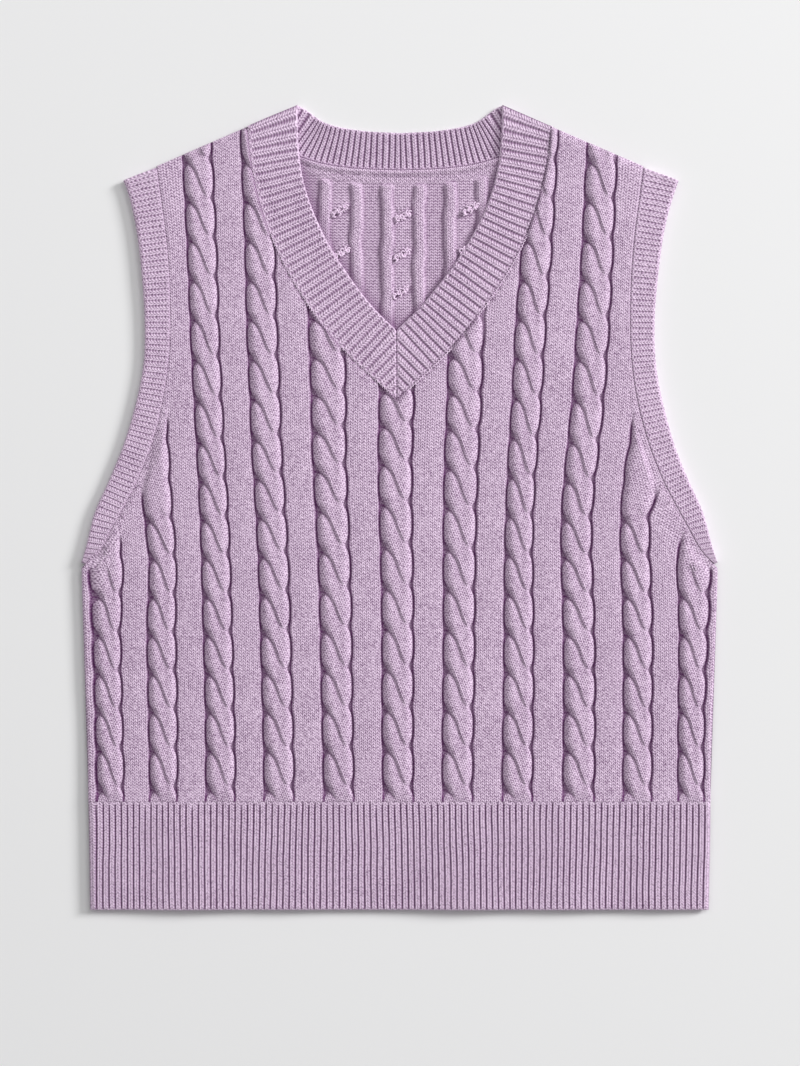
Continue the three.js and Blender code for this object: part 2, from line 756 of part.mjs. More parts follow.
// An armband is one ring: up the front, over the fold at the shoulder, down the
// back and round the fold at the underarm, with a narrow slit between its halves
function armband(name, mirrored) {
  const { seam, edge } = ARM_BAND_ENDS;
  const seamLine = sampled(seam.from, seam.to, 60, (up) => [read(ARMHOLE, 'seam', up), up]);
  const seamRail = rail(movedAside(seamLine, -SEAM_GAP));
  const edgeRail = rail(sampled(edge.from, edge.to, 60, (up) => [read(ARMHOLE, 'edge', up), up]));
  const ribs = Math.round(seamRail.whole / ARM_RIB_PITCH);
  const middle = (FRONT_INSIDE + BACK_WALL) / 2;
  const row = (dense, inFrom, frontRise, backRise, foldReach) => {
    const front = dense ? ribShares(ribs) : rimShares(ribs);
    const points = front.map((along, index) => {
      const { xy } = bandPlace(seamRail.at, edgeRail.at, along, inFrom);
      return { at: along, xyz: [...xy, frontRise(index)] };
    });
    const fold = (from, along, way, rises) => rises.forEach(([share, rise], index) => {
      const { xy } = bandPlace(seamRail.at, edgeRail.at, along, inFrom);
      const place = [xy[0] + way[0] * foldReach * share, xy[1] + way[1] * foldReach * share];
      points.push({ at: from + index / 10, xyz: [...place, rise] });
    });
    const over = middle + (frontRise(0) - middle) * 0.65;
    const under = middle + (backRise - middle) * 0.65;
    fold(1.1, 1, SHOULDER_FOLD_WAY, [[0.75, over], [1, middle], [0.75, under]]);
    for (const along of rimShares(ribs).reverse()) {
      const { xy } = bandPlace(seamRail.at, edgeRail.at, along, inFrom);
      points.push({ at: 2.4 - along, xyz: [...xy, backRise] });
    }
    fold(2.5, 0, UNDERARM_FOLD_WAY, [[0.75, under], [1, middle], [0.75, over]]);
    points.push({ ...points[0], at: 3 });
    return points;
  };
  const ribbed = (index) => FRONT_INSIDE + ribWall(index, RIB_CREST_WALL, RIB_GUTTER_WALL);
  const rim = FRONT_INSIDE + RIM_WALL;
  const backRim = BACK_WALL - RIM_WALL;
  const rows = [
    row(false, 'seam', () => rim, backRim, ARM_FOLD_REACH),
    row(true, 'near_seam', ribbed, 0, ARM_FOLD_REACH),
    row(true, 'near_edge', ribbed, 0, ARM_FOLD_REACH),
    row(false, 'edge', () => rim, backRim, ARM_FOLD_REACH),
    row(false, 'edge', () => FRONT_INSIDE, BACK_WALL, SEAM_GAP),
    row(false, 'seam', () => FRONT_INSIDE, BACK_WALL, SEAM_GAP),
  ];
  const solid = new Solid();
  rows.forEach((line, i) => solid.weave(line, rows[(i + 1) % rows.length], 'at'));
  return solid.mesh(name, YARN.rib, { mirrored });
}

const backRidgeMiddles = BACK_CABLE_MIDDLES.flatMap((middle) => [
  middle - BACK_GUTTER_OFFSET,
  middle + BACK_GUTTER_OFFSET,
]);
const backCornerWale = crossing(
  (wale) => backHalf(wale, NECK_SEAM.at(-1).up) < NECK_SEAM.at(-1).half,
  60,
  130,
);

// The pieces lie in one body, centred over the origin and resting on z = 0
const vest = new THREE.Group();
vest.add(
  frontPanel(),
  backPanel(),
  frontHemRib(),
  backHemRib(),
  neckband('neckband_right', false),
  neckband('neckband_left', true),
  neckbandBack(),
  armband('armband_right', false),
  armband('armband_left', true),
);
const reach = new THREE.Box3().setFromObject(vest);
const middleOfVest = reach.getCenter(new THREE.Vector3());
vest.position.set(-middleOfVest.x, -middleOfVest.y, -reach.min.z);

export default vest;
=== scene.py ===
import math
from functools import partial

import bpy
import numpy as np
from bpy.props import FloatProperty, FloatVectorProperty, PointerProperty
from bpy.types import Operator, Panel, PropertyGroup
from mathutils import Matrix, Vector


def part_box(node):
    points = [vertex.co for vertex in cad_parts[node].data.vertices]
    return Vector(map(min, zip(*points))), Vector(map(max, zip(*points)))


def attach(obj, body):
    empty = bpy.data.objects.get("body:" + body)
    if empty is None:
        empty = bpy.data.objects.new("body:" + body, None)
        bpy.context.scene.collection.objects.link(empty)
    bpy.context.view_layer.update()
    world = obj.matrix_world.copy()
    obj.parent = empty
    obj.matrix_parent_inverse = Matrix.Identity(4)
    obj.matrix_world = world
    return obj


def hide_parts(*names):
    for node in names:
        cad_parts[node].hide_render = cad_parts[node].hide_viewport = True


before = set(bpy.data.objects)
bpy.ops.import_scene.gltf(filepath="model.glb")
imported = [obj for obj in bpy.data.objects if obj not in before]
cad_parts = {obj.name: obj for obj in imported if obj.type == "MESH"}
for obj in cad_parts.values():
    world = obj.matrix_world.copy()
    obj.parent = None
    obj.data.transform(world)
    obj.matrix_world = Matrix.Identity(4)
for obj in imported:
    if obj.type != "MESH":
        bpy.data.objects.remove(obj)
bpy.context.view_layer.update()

bl_info = {
    "name": "Cable-knit vest",
    "version": (1, 0, 0),
    "blender": (4, 5, 0),
    "location": "View3D > Sidebar > Vest",
    "description": "Dresses the solids of a cable-knit V-neck vest, laid flat, in knitted cloth",
    "category": "Object",
}

# Sizes are in millimetres, across from the middle of the chest and up from the hem edge.
# They become metres in the frame's place when a mesh is made.
MM = 0.001
NODE_BOXES = [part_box(node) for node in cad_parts]
LENGTH = (max(box[1][1] for box in NODE_BOXES) - min(box[0][1] for box in NODE_BOXES)) / MM
MIDDLE_UP = LENGTH / 2

BACK_WALL = 2.7
FRONT_INSIDE = 3.0
RIB_DEPTH = 79.0
PANEL_BOTTOM = RIB_DEPTH + 0.05
HEM_HALF = 225.4
BODY_HALF = 226.2
NECK_POINT = {"across": 75.1, "up": 587.0}
SHOULDER_TIP = {"across": 200.5, "up": 532.5}
SHOULDER_SLOPE = (SHOULDER_TIP["up"] - NECK_POINT["up"]) / (SHOULDER_TIP["across"] - NECK_POINT["across"])

CABLES = [
    {"middle": 0.0, "wide": 21.3, "crossed_to": 700, "inner_to": 700, "outer_to": 700},
    {"middle": 43.3, "wide": 21.3, "crossed_to": 700, "inner_to": 700, "outer_to": 700},
    {"middle": 86.7, "wide": 21.2, "crossed_to": 700, "inner_to": 700, "outer_to": 700},
    {"middle": 130.1, "wide": 21.3, "crossed_to": 700, "inner_to": 700, "outer_to": 700},
    {"middle": 172.4, "wide": 20.4, "crossed_to": 289, "inner_to": 356, "outer_to": 303},
    {"middle": 211.8, "wide": 18.4, "crossed_to": 246, "inner_to": 270, "outer_to": 249},
]
GUTTER_WIDTH = 1.1
FIRST_CROSSING_UP = 87.5
CREASE = [
    {"share": 0.0, "fall": 0.0},
    {"share": 0.12, "fall": 0.015},
    {"share": 0.25, "fall": 0.09},
    {"share": 0.38, "fall": 0.21},
    {"share": 0.48, "fall": 0.35},
    {"share": 0.56, "fall": 0.54},
    {"share": 0.64, "fall": 0.72},
    {"share": 0.76, "fall": 0.88},
    {"share": 0.88, "fall": 0.96},
    {"share": 1.0, "fall": 1.0},
]
CREASE_DEPTH = 0.42
LEFT_DRAW = 0.8
RIGHT_DRAW = 1.4
STRAND_TILT = math.radians(68.5)

FAN_AT_SHOULDER = 16.8
FAN_LENGTH = 459.0
FAN_BEND = 1.5
FAN_FULL_FROM = 62.0
LEAN = [
    {"up": 0, "across": -1.0},
    {"up": 79, "across": -1.5},
    {"up": 227, "across": -2.0},
    {"up": 336, "across": -3.4},
    {"up": 372, "across": -2.8},
    {"up": 430, "across": -2.8},
    {"up": 482, "across": -1.5},
    {"up": 540, "across": -0.5},
    {"up": 587, "across": 0.0},
]
LEAN_FADE = {"from": 95.0, "to": 150.0}

ARMHOLE = [
    {"up": 249, "seam": 230.0, "edge": 230.8},
    {"up": 263, "seam": 218.9, "edge": 228.0},
    {"up": 278, "seam": 210.6, "edge": 225.0},
    {"up": 292, "seam": 202.9, "edge": 220.8},
    {"up": 314, "seam": 191.6, "edge": 210.5},
    {"up": 343, "seam": 180.4, "edge": 198.6},
    {"up": 372, "seam": 172.6, "edge": 190.5},
    {"up": 402, "seam": 168.3, "edge": 186.0},
    {"up": 431, "seam": 167.0, "edge": 184.9},
    {"up": 460, "seam": 167.7, "edge": 186.3},
    {"up": 489, "seam": 170.2, "edge": 189.9},
    {"up": 518, "seam": 174.3, "edge": 196.0},
    {"up": 542.4, "seam": 177.8, "edge": 203.0},
]
UNDERARM_UP = ARMHOLE[0]["up"]
NECK_SEAM = [
    {"up": 372.5, "half": 0.0},
    {"up": 390, "half": 19.3},
    {"up": 409, "half": 39.0},
    {"up": 430, "half": 56.6},
    {"up": 455, "half": 73.6},
    {"up": 480, "half": 87.4},
    {"up": 505, "half": 97.6},
    {"up": 530, "half": 104.7},
    {"up": 555, "half": 109.3},
    {"up": 571.5, "half": 110.8},
]
NECK_EDGE = [
    {"up": 422.8, "half": 0.0},
    {"up": 440, "half": 17.4},
    {"up": 460, "half": 33.2},
    {"up": 483, "half": 48.6},
    {"up": 506, "half": 60.4},
    {"up": 526, "half": 67.9},
    {"up": 544, "half": 72.1},
    {"up": 566, "half": 74.4},
    {"up": 587, "half": 75.1},
]
BACK_NECK = [
    {"across": 0, "seam": 539.5, "edge": 567.0},
    {"across": 30, "seam": 540.6, "edge": 569.0},
    {"across": 55, "seam": 544.0, "edge": 574.5},
    {"across": 75.1, "seam": 550.2, "edge": 587.0},
    {"across": 95, "seam": 560.5, "edge": 587.0},
    {"across": 110.8, "seam": 571.5, "edge": 587.0},
]

NECK_WALE = 88.8
NECK_EASED_TO = 97.3
ARM_WALE = 154.9
ARM_EASED_FROM = 143.2
ARM_WALE_MEETS_SEAM = 460.0
ARMHOLE_LINES = [156.0, 157.2, 158.5]

# How far the courses bow up towards the middle of the chest, by height
ARCH = [
    {"up": 80, "rise": 0.0},
    {"up": 145, "rise": 1.0},
    {"up": 205, "rise": 3.0},
    {"up": 265, "rise": 5.5},
    {"up": 300, "rise": 8.0},
    {"up": 345, "rise": 8.5},
    {"up": 380, "rise": 4.0},
    {"up": 440, "rise": 0.0},
    {"up": 587, "rise": 0.0},
]
ARCH_WIDE = 75.0

# Millimetres by which the outline stands further out than the panels' own halves
OUTLINE_EASE = [
    {"up": 0, "left": 0.7, "right": 0.0},
    {"up": 90, "left": 0.7, "right": 0.0},
    {"up": 140, "left": 1.0, "right": 0.1},
    {"up": 165, "left": 2.0, "right": 1.1},
    {"up": 205, "left": 2.4, "right": 1.4},
    {"up": 250, "left": 2.5, "right": 1.3},
    {"up": 272, "left": 1.0, "right": -0.5},
    {"up": 290, "left": 1.1, "right": -0.5},
    {"up": 325, "left": 1.8, "right": 0.1},
    {"up": 362, "left": 1.8, "right": 0.9},
    {"up": 398, "left": 0.2, "right": 0.0},
    {"up": 435, "left": 0.8, "right": 0.5},
    {"up": 465, "left": 1.4, "right": 1.5},
    {"up": 507, "left": 1.0, "right": 2.2},
    {"up": 526, "left": 1.4, "right": 3.2},
    {"up": 542, "left": 3.4, "right": 3.6},
    {"up": 587, "left": 0.0, "right": 0.0},
]
GATHERS = [
    {"side": 1, "shift": 6.0, "up": 285.0, "reach": 62.0, "from": 60, "full": 150, "free": 20},
    {"side": -1, "shift": 3.6, "up": 252.0, "reach": 34.0, "from": 140, "full": 185, "free": 8},
    {"side": -1, "shift": 1.6, "up": 85.0, "reach": 50.0, "from": 160, "full": 195, "free": 8},
]

HEM_RIBS = 102
NECK_RIB_PITCH = 6.05
BACK_NECK_RIB_PITCH = 4.5
ARM_RIB_PITCH = 4.2
HEM_WAVES = [
    {"across": -158, "wide": 34, "lift": 2.2},
    {"across": -82, "wide": 22, "lift": 0.9},
    {"across": 48, "wide": 30, "lift": 2.0},
    {"across": 117, "wide": 32, "lift": 1.7},
    {"across": 190, "wide": 20, "lift": 1.0},
]
LEG_MIDDLE = np.array([0.75, 0.36])
BACK_CABLE_MIDDLES = [-42.9, 2.6, 48.1]
BACK_GUTTER_OFFSET = 11.6

# How finely the meshes follow the knit
CABLE_SHARES = np.array(
    [0, 0.02, 0.05, 0.1, 0.15, 0.2, 0.26, 0.33, 0.4, 0.47]
    + [0.54, 0.61, 0.68, 0.75, 0.81, 0.87, 0.92, 0.95, 0.98, 1]
)
CROSSING_ROWS = np.array(
    [0, 0.03, 0.06, 0.1, 0.16, 0.24, 0.33, 0.43]
    + [0.53, 0.63, 0.72, 0.8, 0.87, 0.92, 0.96, 0.985]
)
END_ROWS = np.array([0, 0.3, 0.7, 1.2, 1.9, 2.8])
PLAIN_ROW = 3.6
RIB_COLUMNS = np.array([0, 0.08, 0.17, 0.28, 0.41, 0.5, 0.59, 0.72, 0.83, 0.92])
RIB_LOOKS = {
    "hem": {"deep": 1.1, "wide": 1.25, "shade": 1.04, "middle": 1.2},
    "neck": {"deep": 0.8, "wide": 1.5, "shade": 0.68, "middle": 1.5},
    "back_neck": {"deep": 1.0, "wide": 1.6, "shade": 0.88, "middle": 1.6},
    "arm": {"deep": 0.5, "wide": 1.1, "shade": 0.58, "middle": 0.8},
}
RIB_CREST = 3.3
BAND_ROUNDING = 1.9
RIB_KNIT_SPREAD = 1.5
NECK_STRIP = {"rolled": 3.2, "deep": 10.3}
KNOTS = [
    {"across": -43.5, "up": 510.0},
    {"across": 2.4, "up": 506.0},
    {"across": 51.5, "up": 511.5},
    {"across": -42.0, "up": 479.5},
    {"across": 2.0, "up": 478.0},
    {"across": 0.6, "up": 450.5},
    {"across": 49.0, "up": 482.0},
]
DECREASE_UPS = [377.5, 361.5, 349.0, 336.0, 322.0, 309.0, 297.0, 286.0, 275.0, 266.0]
ARM_BAND_ENDS = {"seam": (252.8, 540.4), "edge": (254.4, 530.8)}
SEAM_SHADE = 0.7
ARM_SEAM_SHADE = 0.35
ARM_FOLD_REACH = 1.2
FOLD_ANGLES = np.radians([30, 60, 90, 120, 150])
SHOULDER_FOLD_WAY = [0.4, 0.917]
UNDERARM_FOLD_WAY = [0.72, -0.694]

# The stage, in metres and watts
FLOOR_HALF = 3.0
LIGHTS = [
    ("key_light", (5.7, 2.6, 3.0), 2.2, 442),
    ("window_light", (2.6, 3.0, 4.6), 2.8, 80),
    ("fill_light", (-2.0, 1.6, 4.4), 3.6, 36),
]
SKY_STRENGTH = 0.285
CAMERA_PLACE = (0.0, -0.0186, 1.9)
CLOTH_LEVEL = 0.005
VIEW_HEIGHT = 1066 * 0.000729


def read(table, column, at, key="up"):
    """A smooth value between the rows of a table, for one place or many."""
    keys = np.array([row[key] for row in table], dtype=float)
    values = np.array([row[column] for row in table], dtype=float)
    at = np.asarray(at, dtype=float)
    last = len(keys) - 1
    row = np.clip(np.searchsorted(keys, at, side="left") - 1, 0, last - 1)
    before = np.maximum(row - 1, 0)
    after = np.minimum(row + 2, last)
    span = keys[row + 1] - keys[row]
    share = np.clip((at - keys[row]) / span, 0, 1)
    slope_low = (values[row + 1] - values[before]) / (keys[row + 1] - keys[before]) * span
    slope_high = (values[after] - values[row]) / (keys[after] - keys[row]) * span
    rise = values[row + 1] - values[row]
    curve = slope_low * share * (1 - share) ** 2 - slope_high * (1 - share) * share**2
    return values[row] + rise * share * share * (3 - 2 * share) + curve


def smooth_step(value, low, high):
    """A smooth rise from 0 to 1 between two values."""
    share = np.clip((np.asarray(value, dtype=float) - low) / (high - low), 0, 1)
    return share * share * (3 - 2 * share)


def crossing(below, low, high):
    """The place between two heights at which a test stops holding."""
    for _ in range(40):
        middle = (low + high) / 2
        if below(middle):
            low = middle
        else:
            high = middle
    return (low + high) / 2


def fan(up):
    """Width that the body gains above the hem on each side."""
    above_hem = np.maximum(0, np.asarray(up, dtype=float) - RIB_DEPTH)
    return FAN_AT_SHOULDER * (above_hem / FAN_LENGTH) ** FAN_BEND


def shoulder_up(across):
    """Height of the shoulder line at a distance from the middle."""
    return NECK_POINT["up"] + SHOULDER_SLOPE * (np.abs(across) - NECK_POINT["across"])


def arm_ease(wale, up):
    """Shift that brings the wales beside an armhole onto its seam."""
    share = np.clip((wale - ARM_EASED_FROM) / (ARM_WALE - ARM_EASED_FROM), 0, 1)
    eased = share * (read(ARMHOLE, "seam", up) - fan(up) - ARM_WALE)
    return np.where((up > ARM_WALE_MEETS_SEAM) & (wale <= ARM_WALE + 1e-6), eased, 0)


def front_half(wale, up):
    """Half width reached by a wale of the front, before the lean."""
    up = np.asarray(up, dtype=float)
    plain = wale + fan(up) * min(1, wale / FAN_FULL_FROM) + arm_ease(wale, up)
    if wale < NECK_WALE - 1e-6 or wale > NECK_EASED_TO:
        return plain
    share = (NECK_EASED_TO - wale) / (NECK_EASED_TO - NECK_WALE)
    eased = share * (read(NECK_SEAM, "half", up) - fan(up) - NECK_WALE)
    return plain + np.where(up > NECK_WALE_MEETS_SEAM, eased, 0)


def back_half(wale, up):
    """Half width reached by a wale of the back."""
    return wale + fan(up) * smooth_step(wale, 66, 135) + arm_ease(wale, np.asarray(up, dtype=float))


NECK_WALE_MEETS_SEAM = crossing(lambda up: NECK_WALE + fan(up) > read(NECK_SEAM, "half", up), 480, 560)
NECK_CORNER = NECK_SEAM[-1]
BACK_CORNER_WALE = crossing(
    lambda wale: back_half(wale, NECK_CORNER["up"]) < NECK_CORNER["half"], 60, 130
)


def lean_at(wale, up):
    """How far the middle of the front and its neckband lean to one side."""
    return read(LEAN, "across", up) * (1 - smooth_step(wale, LEAN_FADE["from"], LEAN_FADE["to"]))


def seam_distance(table, column, across, up, outside):
    """How far a place lies from a seam, along the cloth, on the side away from the opening."""
    half = read(table, column, up)
    slope = (read(table, column, up + 1) - read(table, column, up - 1)) / 2
    return (across - half) * outside / np.sqrt(1 + slope**2)


def round_edge(distance, reach, start=0.4):
    """Share of a wall's height near an edge, which is rounded over a short reach."""
    share = np.clip(distance / reach, 0, 1)
    return start + (1 - start) * np.sqrt(1 - (1 - share) ** 2)


def eased(across, up):
    """Where a place lies once the outline stands out and the wales by the sides are gathered in."""
    size = np.abs(across)
    half = read(ARMHOLE, "edge", np.maximum(up, UNDERARM_UP))
    room = 10.5 + 13.5 * smooth_step(up, 252, 300)
    out = smooth_step(size, half - room, half - 3.5)
    left = -read(OUTLINE_EASE, "left", up) * out * (across < 0)
    right = read(OUTLINE_EASE, "right", up) * out * (across > 0)
    seam = np.where(up > UNDERARM_UP, read(ARMHOLE, "seam", np.maximum(up, UNDERARM_UP)), BODY_HALF)
    moved = across + left + right
    for gather in GATHERS:
        held = smooth_step(across * gather["side"], gather["from"], gather["full"])
        held = held * (1 - smooth_step(size, seam - gather["free"], seam - 1))
        near = np.exp(-(((up - gather["up"]) / gather["reach"]) ** 2))
        moved = moved - gather["side"] * gather["shift"] * near * held
    return moved


def laid(points):
    """Millimetres on the vest to metres in the frame, with the cloth's small unevenness."""
    across, up, rise = np.asarray(points, dtype=float).T
    across = eased(across, up)
    wander = 0.5 * np.sin(up / 61 + 0.7) * np.sin(across / 83 + 0.4) + 0.25 * np.sin(up / 27 + across / 41)
    broad = 0.05 * np.sin(across / 47 + 1.1) * np.sin(up / 58 + 0.3)
    uneven = broad + 0.035 * np.sin(across / 23 - up / 31)
    lifted = rise * (1 + uneven)
    return np.stack([across + wander, up - MIDDLE_UP, lifted], axis=1) * MM


class Cloth:
    """Points and faces of one piece of cloth, with the values that its material reads."""

    def __init__(self):
        self.points = []
        self.knit = []
        self.strand = []
        # depth holds each point's openness, which the material paints as shade: 1 is unshaded, less is
        # darker
        self.depth = []
        self.purl = []
        self.faces = []

    def line(self, points, knit, depth, purl=0.0, strand=None):
        """Adds a line of points and gives their numbers, with their place along a cable's strands."""
        first = len(self.points)
        count = len(points)
        self.points.extend(points)
        self.knit.extend(knit)
        self.strand.extend(np.full((count, 2), np.nan) if strand is None else strand)
        self.depth.extend(np.broadcast_to(depth, count))
        self.purl.extend(np.broadcast_to(purl, count))
        return list(range(first, first + count))

    def weave(self, left, left_order, right, right_order):
        """Faces between two lines. Seen from outside both run away, the first on the left."""
        i = 0
        j = 0
        faces = self.faces
        while i < len(left) - 1 or j < len(right) - 1:
            right_done = j == len(right) - 1
            if i < len(left) - 1 and (right_done or left_order[i + 1] <= right_order[j + 1]):
                faces.append((left[i], right[j], left[i + 1]))
                i += 1
            else:
                faces.append((left[i], right[j], right[j + 1]))
                j += 1

    def mesh(self, name, materials):
        """The finished mesh, with its knit map and the values that its material reads."""
        mesh = bpy.data.meshes.new(name)
        mesh.from_pydata(laid(self.points), [], self.faces)
        used = np.array(self.faces).ravel()
        knit = np.array(self.knit, dtype=np.float32)[used].reshape(-1, 3, 2)
        strand = np.array(self.strand, dtype=np.float32)[used].reshape(-1, 3, 2)
        on_cable = ~np.isnan(strand).any(axis=(1, 2))
        knit[on_cable] = strand[on_cable]
        mesh.uv_layers.new(name="knit").data.foreach_set("uv", knit.ravel())
        for word, values in (("depth", self.depth), ("purl", self.purl)):
            attribute = mesh.attributes.new(word, "FLOAT", "POINT")
            attribute.data.foreach_set("value", np.array(values, dtype=np.float32))
        for material in materials:
            mesh.materials.append(material)
        mesh.shade_smooth()
        mesh.validate()
        mesh.update()
        return mesh


def placed(name, mesh):
    """A new object at the origin that holds a finished mesh."""
    piece = bpy.data.objects.new(name, mesh)
    bpy.context.scene.collection.objects.link(piece)
    return piece


class Wire:
    """A value in a node tree. Arithmetic on it adds Math nodes."""

    def __init__(self, tree, socket):
        self.tree = tree
        self.socket = socket

    def math(self, operation, *values):
        return self.tree.node("ShaderNodeMath", {"operation": operation}, dict(enumerate(values)))

    def __add__(self, other):
        return self.math("ADD", self, other)

    def __sub__(self, other):
        return self.math("SUBTRACT", self, other)

    def __rsub__(self, other):
        return self.math("SUBTRACT", other, self)

    def __mul__(self, other):
        return self.math("MULTIPLY", self, other)

    def __truediv__(self, other):
        return self.math("DIVIDE", self, other)

    def __rtruediv__(self, other):
        return self.math("DIVIDE", other, self)

    def __pow__(self, other):
        return self.math("POWER", self, other)

    def __neg__(self):
        return self.math("MULTIPLY", self, -1.0)

    def __abs__(self):
        return self.math("ABSOLUTE", self)

    __radd__ = __add__
    __rmul__ = __mul__

    def fract(self):
        return self.math("FRACT", self)

    def sine(self):
        return self.math("SINE", self)

    def cosine(self):
        return self.math("COSINE", self)

    def exp(self):
        return self.math("EXPONENT", self)

    def least(self, other):
        return self.math("MINIMUM", self, other)

    def most(self, other):
        return self.math("MAXIMUM", self, other)


class Nodes:
    """Adds nodes to a tree, each from its type, its settings and its sockets' values."""

    def __init__(self, tree):
        self.tree = tree

    def node(self, kind, settings=None, sockets=None, output=0):
        made = self.tree.nodes.new(kind)
        for word, value in (settings or {}).items():
            setattr(made, word, value)
        for key, value in (sockets or {}).items():
            if isinstance(value, Wire):
                self.tree.links.new(value.socket, made.inputs[key])
            else:
                made.inputs[key].default_value = value
        if not made.outputs:
            return None
        return Wire(self, made.outputs[output])

    def again(self, wire, output):
        """Another output of the node that a value comes from."""
        return Wire(self, wire.socket.node.outputs[output])

    def noise(self, place, scale, detail):
        """Smooth noise through space."""
        sockets = {"Vector": place, "Scale": scale, "Detail": detail}
        return self.node("ShaderNodeTexNoise", {"noise_dimensions": "3D"}, sockets)

    def random(self, low, high, seed):
        """A number for each point, the same on every run."""
        sockets = {2: low, 3: high, "Seed": seed}
        return self.node("FunctionNodeRandomValue", {"data_type": "FLOAT"}, sockets, output=1)

    def attribute(self, word, kind="FLOAT"):
        """A named attribute of the points that a geometry tree works on."""
        return self.node("GeometryNodeInputNamedAttribute", {"data_type": kind}, {"Name": word})

    def blend_colours(self, factor, first, second):
        """The first colour where the factor is 0, the second where it is 1."""
        settings = {"data_type": "RGBA"}
        return self.node("ShaderNodeMix", settings, {0: factor, 6: first, 7: second}, output=2)


def yarn_material(name, sizes, yarn, lift):
    """Matt lilac yarn, knitted: small V-shaped stitches, or purl bumps, along the knit map, with painted
    shade between the stitches and, where the openness is low, in gutters, creases and seams.
    """
    material = bpy.data.materials.new(name)
    material.use_nodes = True
    tree = material.node_tree
    tree.nodes.clear()
    nodes = Nodes(tree)
    knit = nodes.node("ShaderNodeUVMap", {"uv_map": "knit"})
    apart = nodes.node("ShaderNodeSeparateXYZ", sockets={0: knit})
    wale = apart / (sizes.wale_width / MM)
    course = nodes.again(apart, 1) / (sizes.course_height / MM)
    place = nodes.node("ShaderNodeTexCoord", output=3)
    depth = nodes.node("ShaderNodeAttribute", {"attribute_name": "depth"}, output=2)
    purl = nodes.node("ShaderNodeAttribute", {"attribute_name": "purl"}, output=2)

    wobble = nodes.noise(place, 300.0, 1.0)
    side = abs((wale + (wobble - 0.5) * 0.3).fract() - 0.5)
    lean = course - side * 1.45 + (wobble - 0.5) * 0.6
    stitch = (lean * (2 * math.pi)).cosine()
    between = (side * (4 * math.pi)).cosine()
    plain = stitch * 0.3 - between * 0.17 + 0.5
    bumps = (course * (2 * math.pi) + (wale * (2 * math.pi)).sine() * 1.1).cosine()
    rows = bumps * 0.34 + (wale * (4 * math.pi)).cosine() * 0.14 + 0.5
    loops = plain * (1 - purl) + rows * purl

    mottle = nodes.noise(place, 45.0, 3.0)
    speck = nodes.noise(place, 620.0, 2.0)
    fluff = nodes.noise(place, 2400.0, 2.0)
    # lift moves the whole pattern towards the lit loop colour
    shade = (loops + (mottle - 0.5) * 0.3 + (speck - 0.5) * 1.7 + lift).most(0.0).least(1.0)
    # Painted shade: the gaps between the stitches take the darker colour, the loops the lit one
    open_colour = nodes.blend_colours(shade, (*yarn.shade_between_loops, 1.0), (*yarn.loops, 1.0))
    # Painted shade deep in gutters, creases and along seams, where the openness (depth) is low
    sunk = ((1 - depth) * (1 + (speck - 0.5) * 1.2)).most(0.0).least(1.0) ** 1.2
    colour = nodes.blend_colours(sunk, open_colour, (*yarn.gutter, 1.0))

    hairy = nodes.node("ShaderNodeBump", sockets={"Strength": 0.35, "Distance": 0.0002, "Height": fluff})
    sewn = {"Strength": 0.9, "Distance": sizes.stitch_relief, "Height": loops, "Normal": hairy}
    relief = nodes.node("ShaderNodeBump", sockets=sewn)
    rough = 0.86 + (mottle - 0.5) * 0.1
    surface = nodes.node(
        "ShaderNodeBsdfPrincipled",
        sockets={
            "Base Color": colour,
            "Roughness": rough,
            "Normal": relief,
            "Specular IOR Level": 0.2,
            "Sheen Weight": 0.35,
            "Sheen Roughness": 0.5,
            "Sheen Tint": (0.95, 0.86, 0.97, 1.0),
        },
    )
    nodes.node("ShaderNodeOutputMaterial", sockets={"Surface": surface})
    return material


def materials_of(context):
    """The two finishes of the record's slots, made once."""
    sizes = context.scene.vest_sizes
    yarn = context.scene.vest_yarn
    # The rib yarn is a lighter copy of the cable yarn: its larger lift is painted light
    for name, lift in (("cable_knit_yarn", 0.1), ("rib_knit_yarn", 0.25)):
        if name not in bpy.data.materials:
            yarn_material(name, sizes, yarn, lift)
    return bpy.data.materials["cable_knit_yarn"], bpy.data.materials["rib_knit_yarn"]


def arch(wale, up):
    """Height by which a course lies above its place on a straight vest."""
    return read(ARCH, "rise", up) * (1.55 * math.exp(-((wale / ARCH_WIDE) ** 2)) - 0.55)


def crossing_turns(share, wale, up, sizes):
    """Crossings passed on the way up a cable, counted along its creases."""
    pitch = sizes.crossing_pitch / MM
    return (up - arch(wale, up) - FIRST_CROSSING_UP) / pitch + crease_fall(share)


def crease_fall(share):
    """Crossings by which a crease has come down at a share of the cable's width."""
    return float(read(CREASE, "fall", share, "share"))


def cable_share(wale):
    """The share of a cable's width at which a wale lies, or None on plain knit."""
    for cable in CABLES:
        for side in (-1, 1):
            share = (wale - side * cable["middle"]) / cable["wide"] + 0.5
            if -1e-6 <= share <= 1 + 1e-6:
                return min(1.0, max(0.0, share))
    return None


def nearest_cable(wale):
    """The cable whose edge is closest to a wale."""
    return min(CABLES, key=lambda cable: abs(abs(abs(wale) - cable["middle"]) - cable["wide"] / 2))


def kept_at(cable, outward, up):
    """How much of a cable's rise is left at a height, from its inner side (0) to its outer side (1)."""
    end = cable["inner_to"] + (cable["outer_to"] - cable["inner_to"]) * outward
    return 1 - smooth_step(up, end - 4, end + 5)


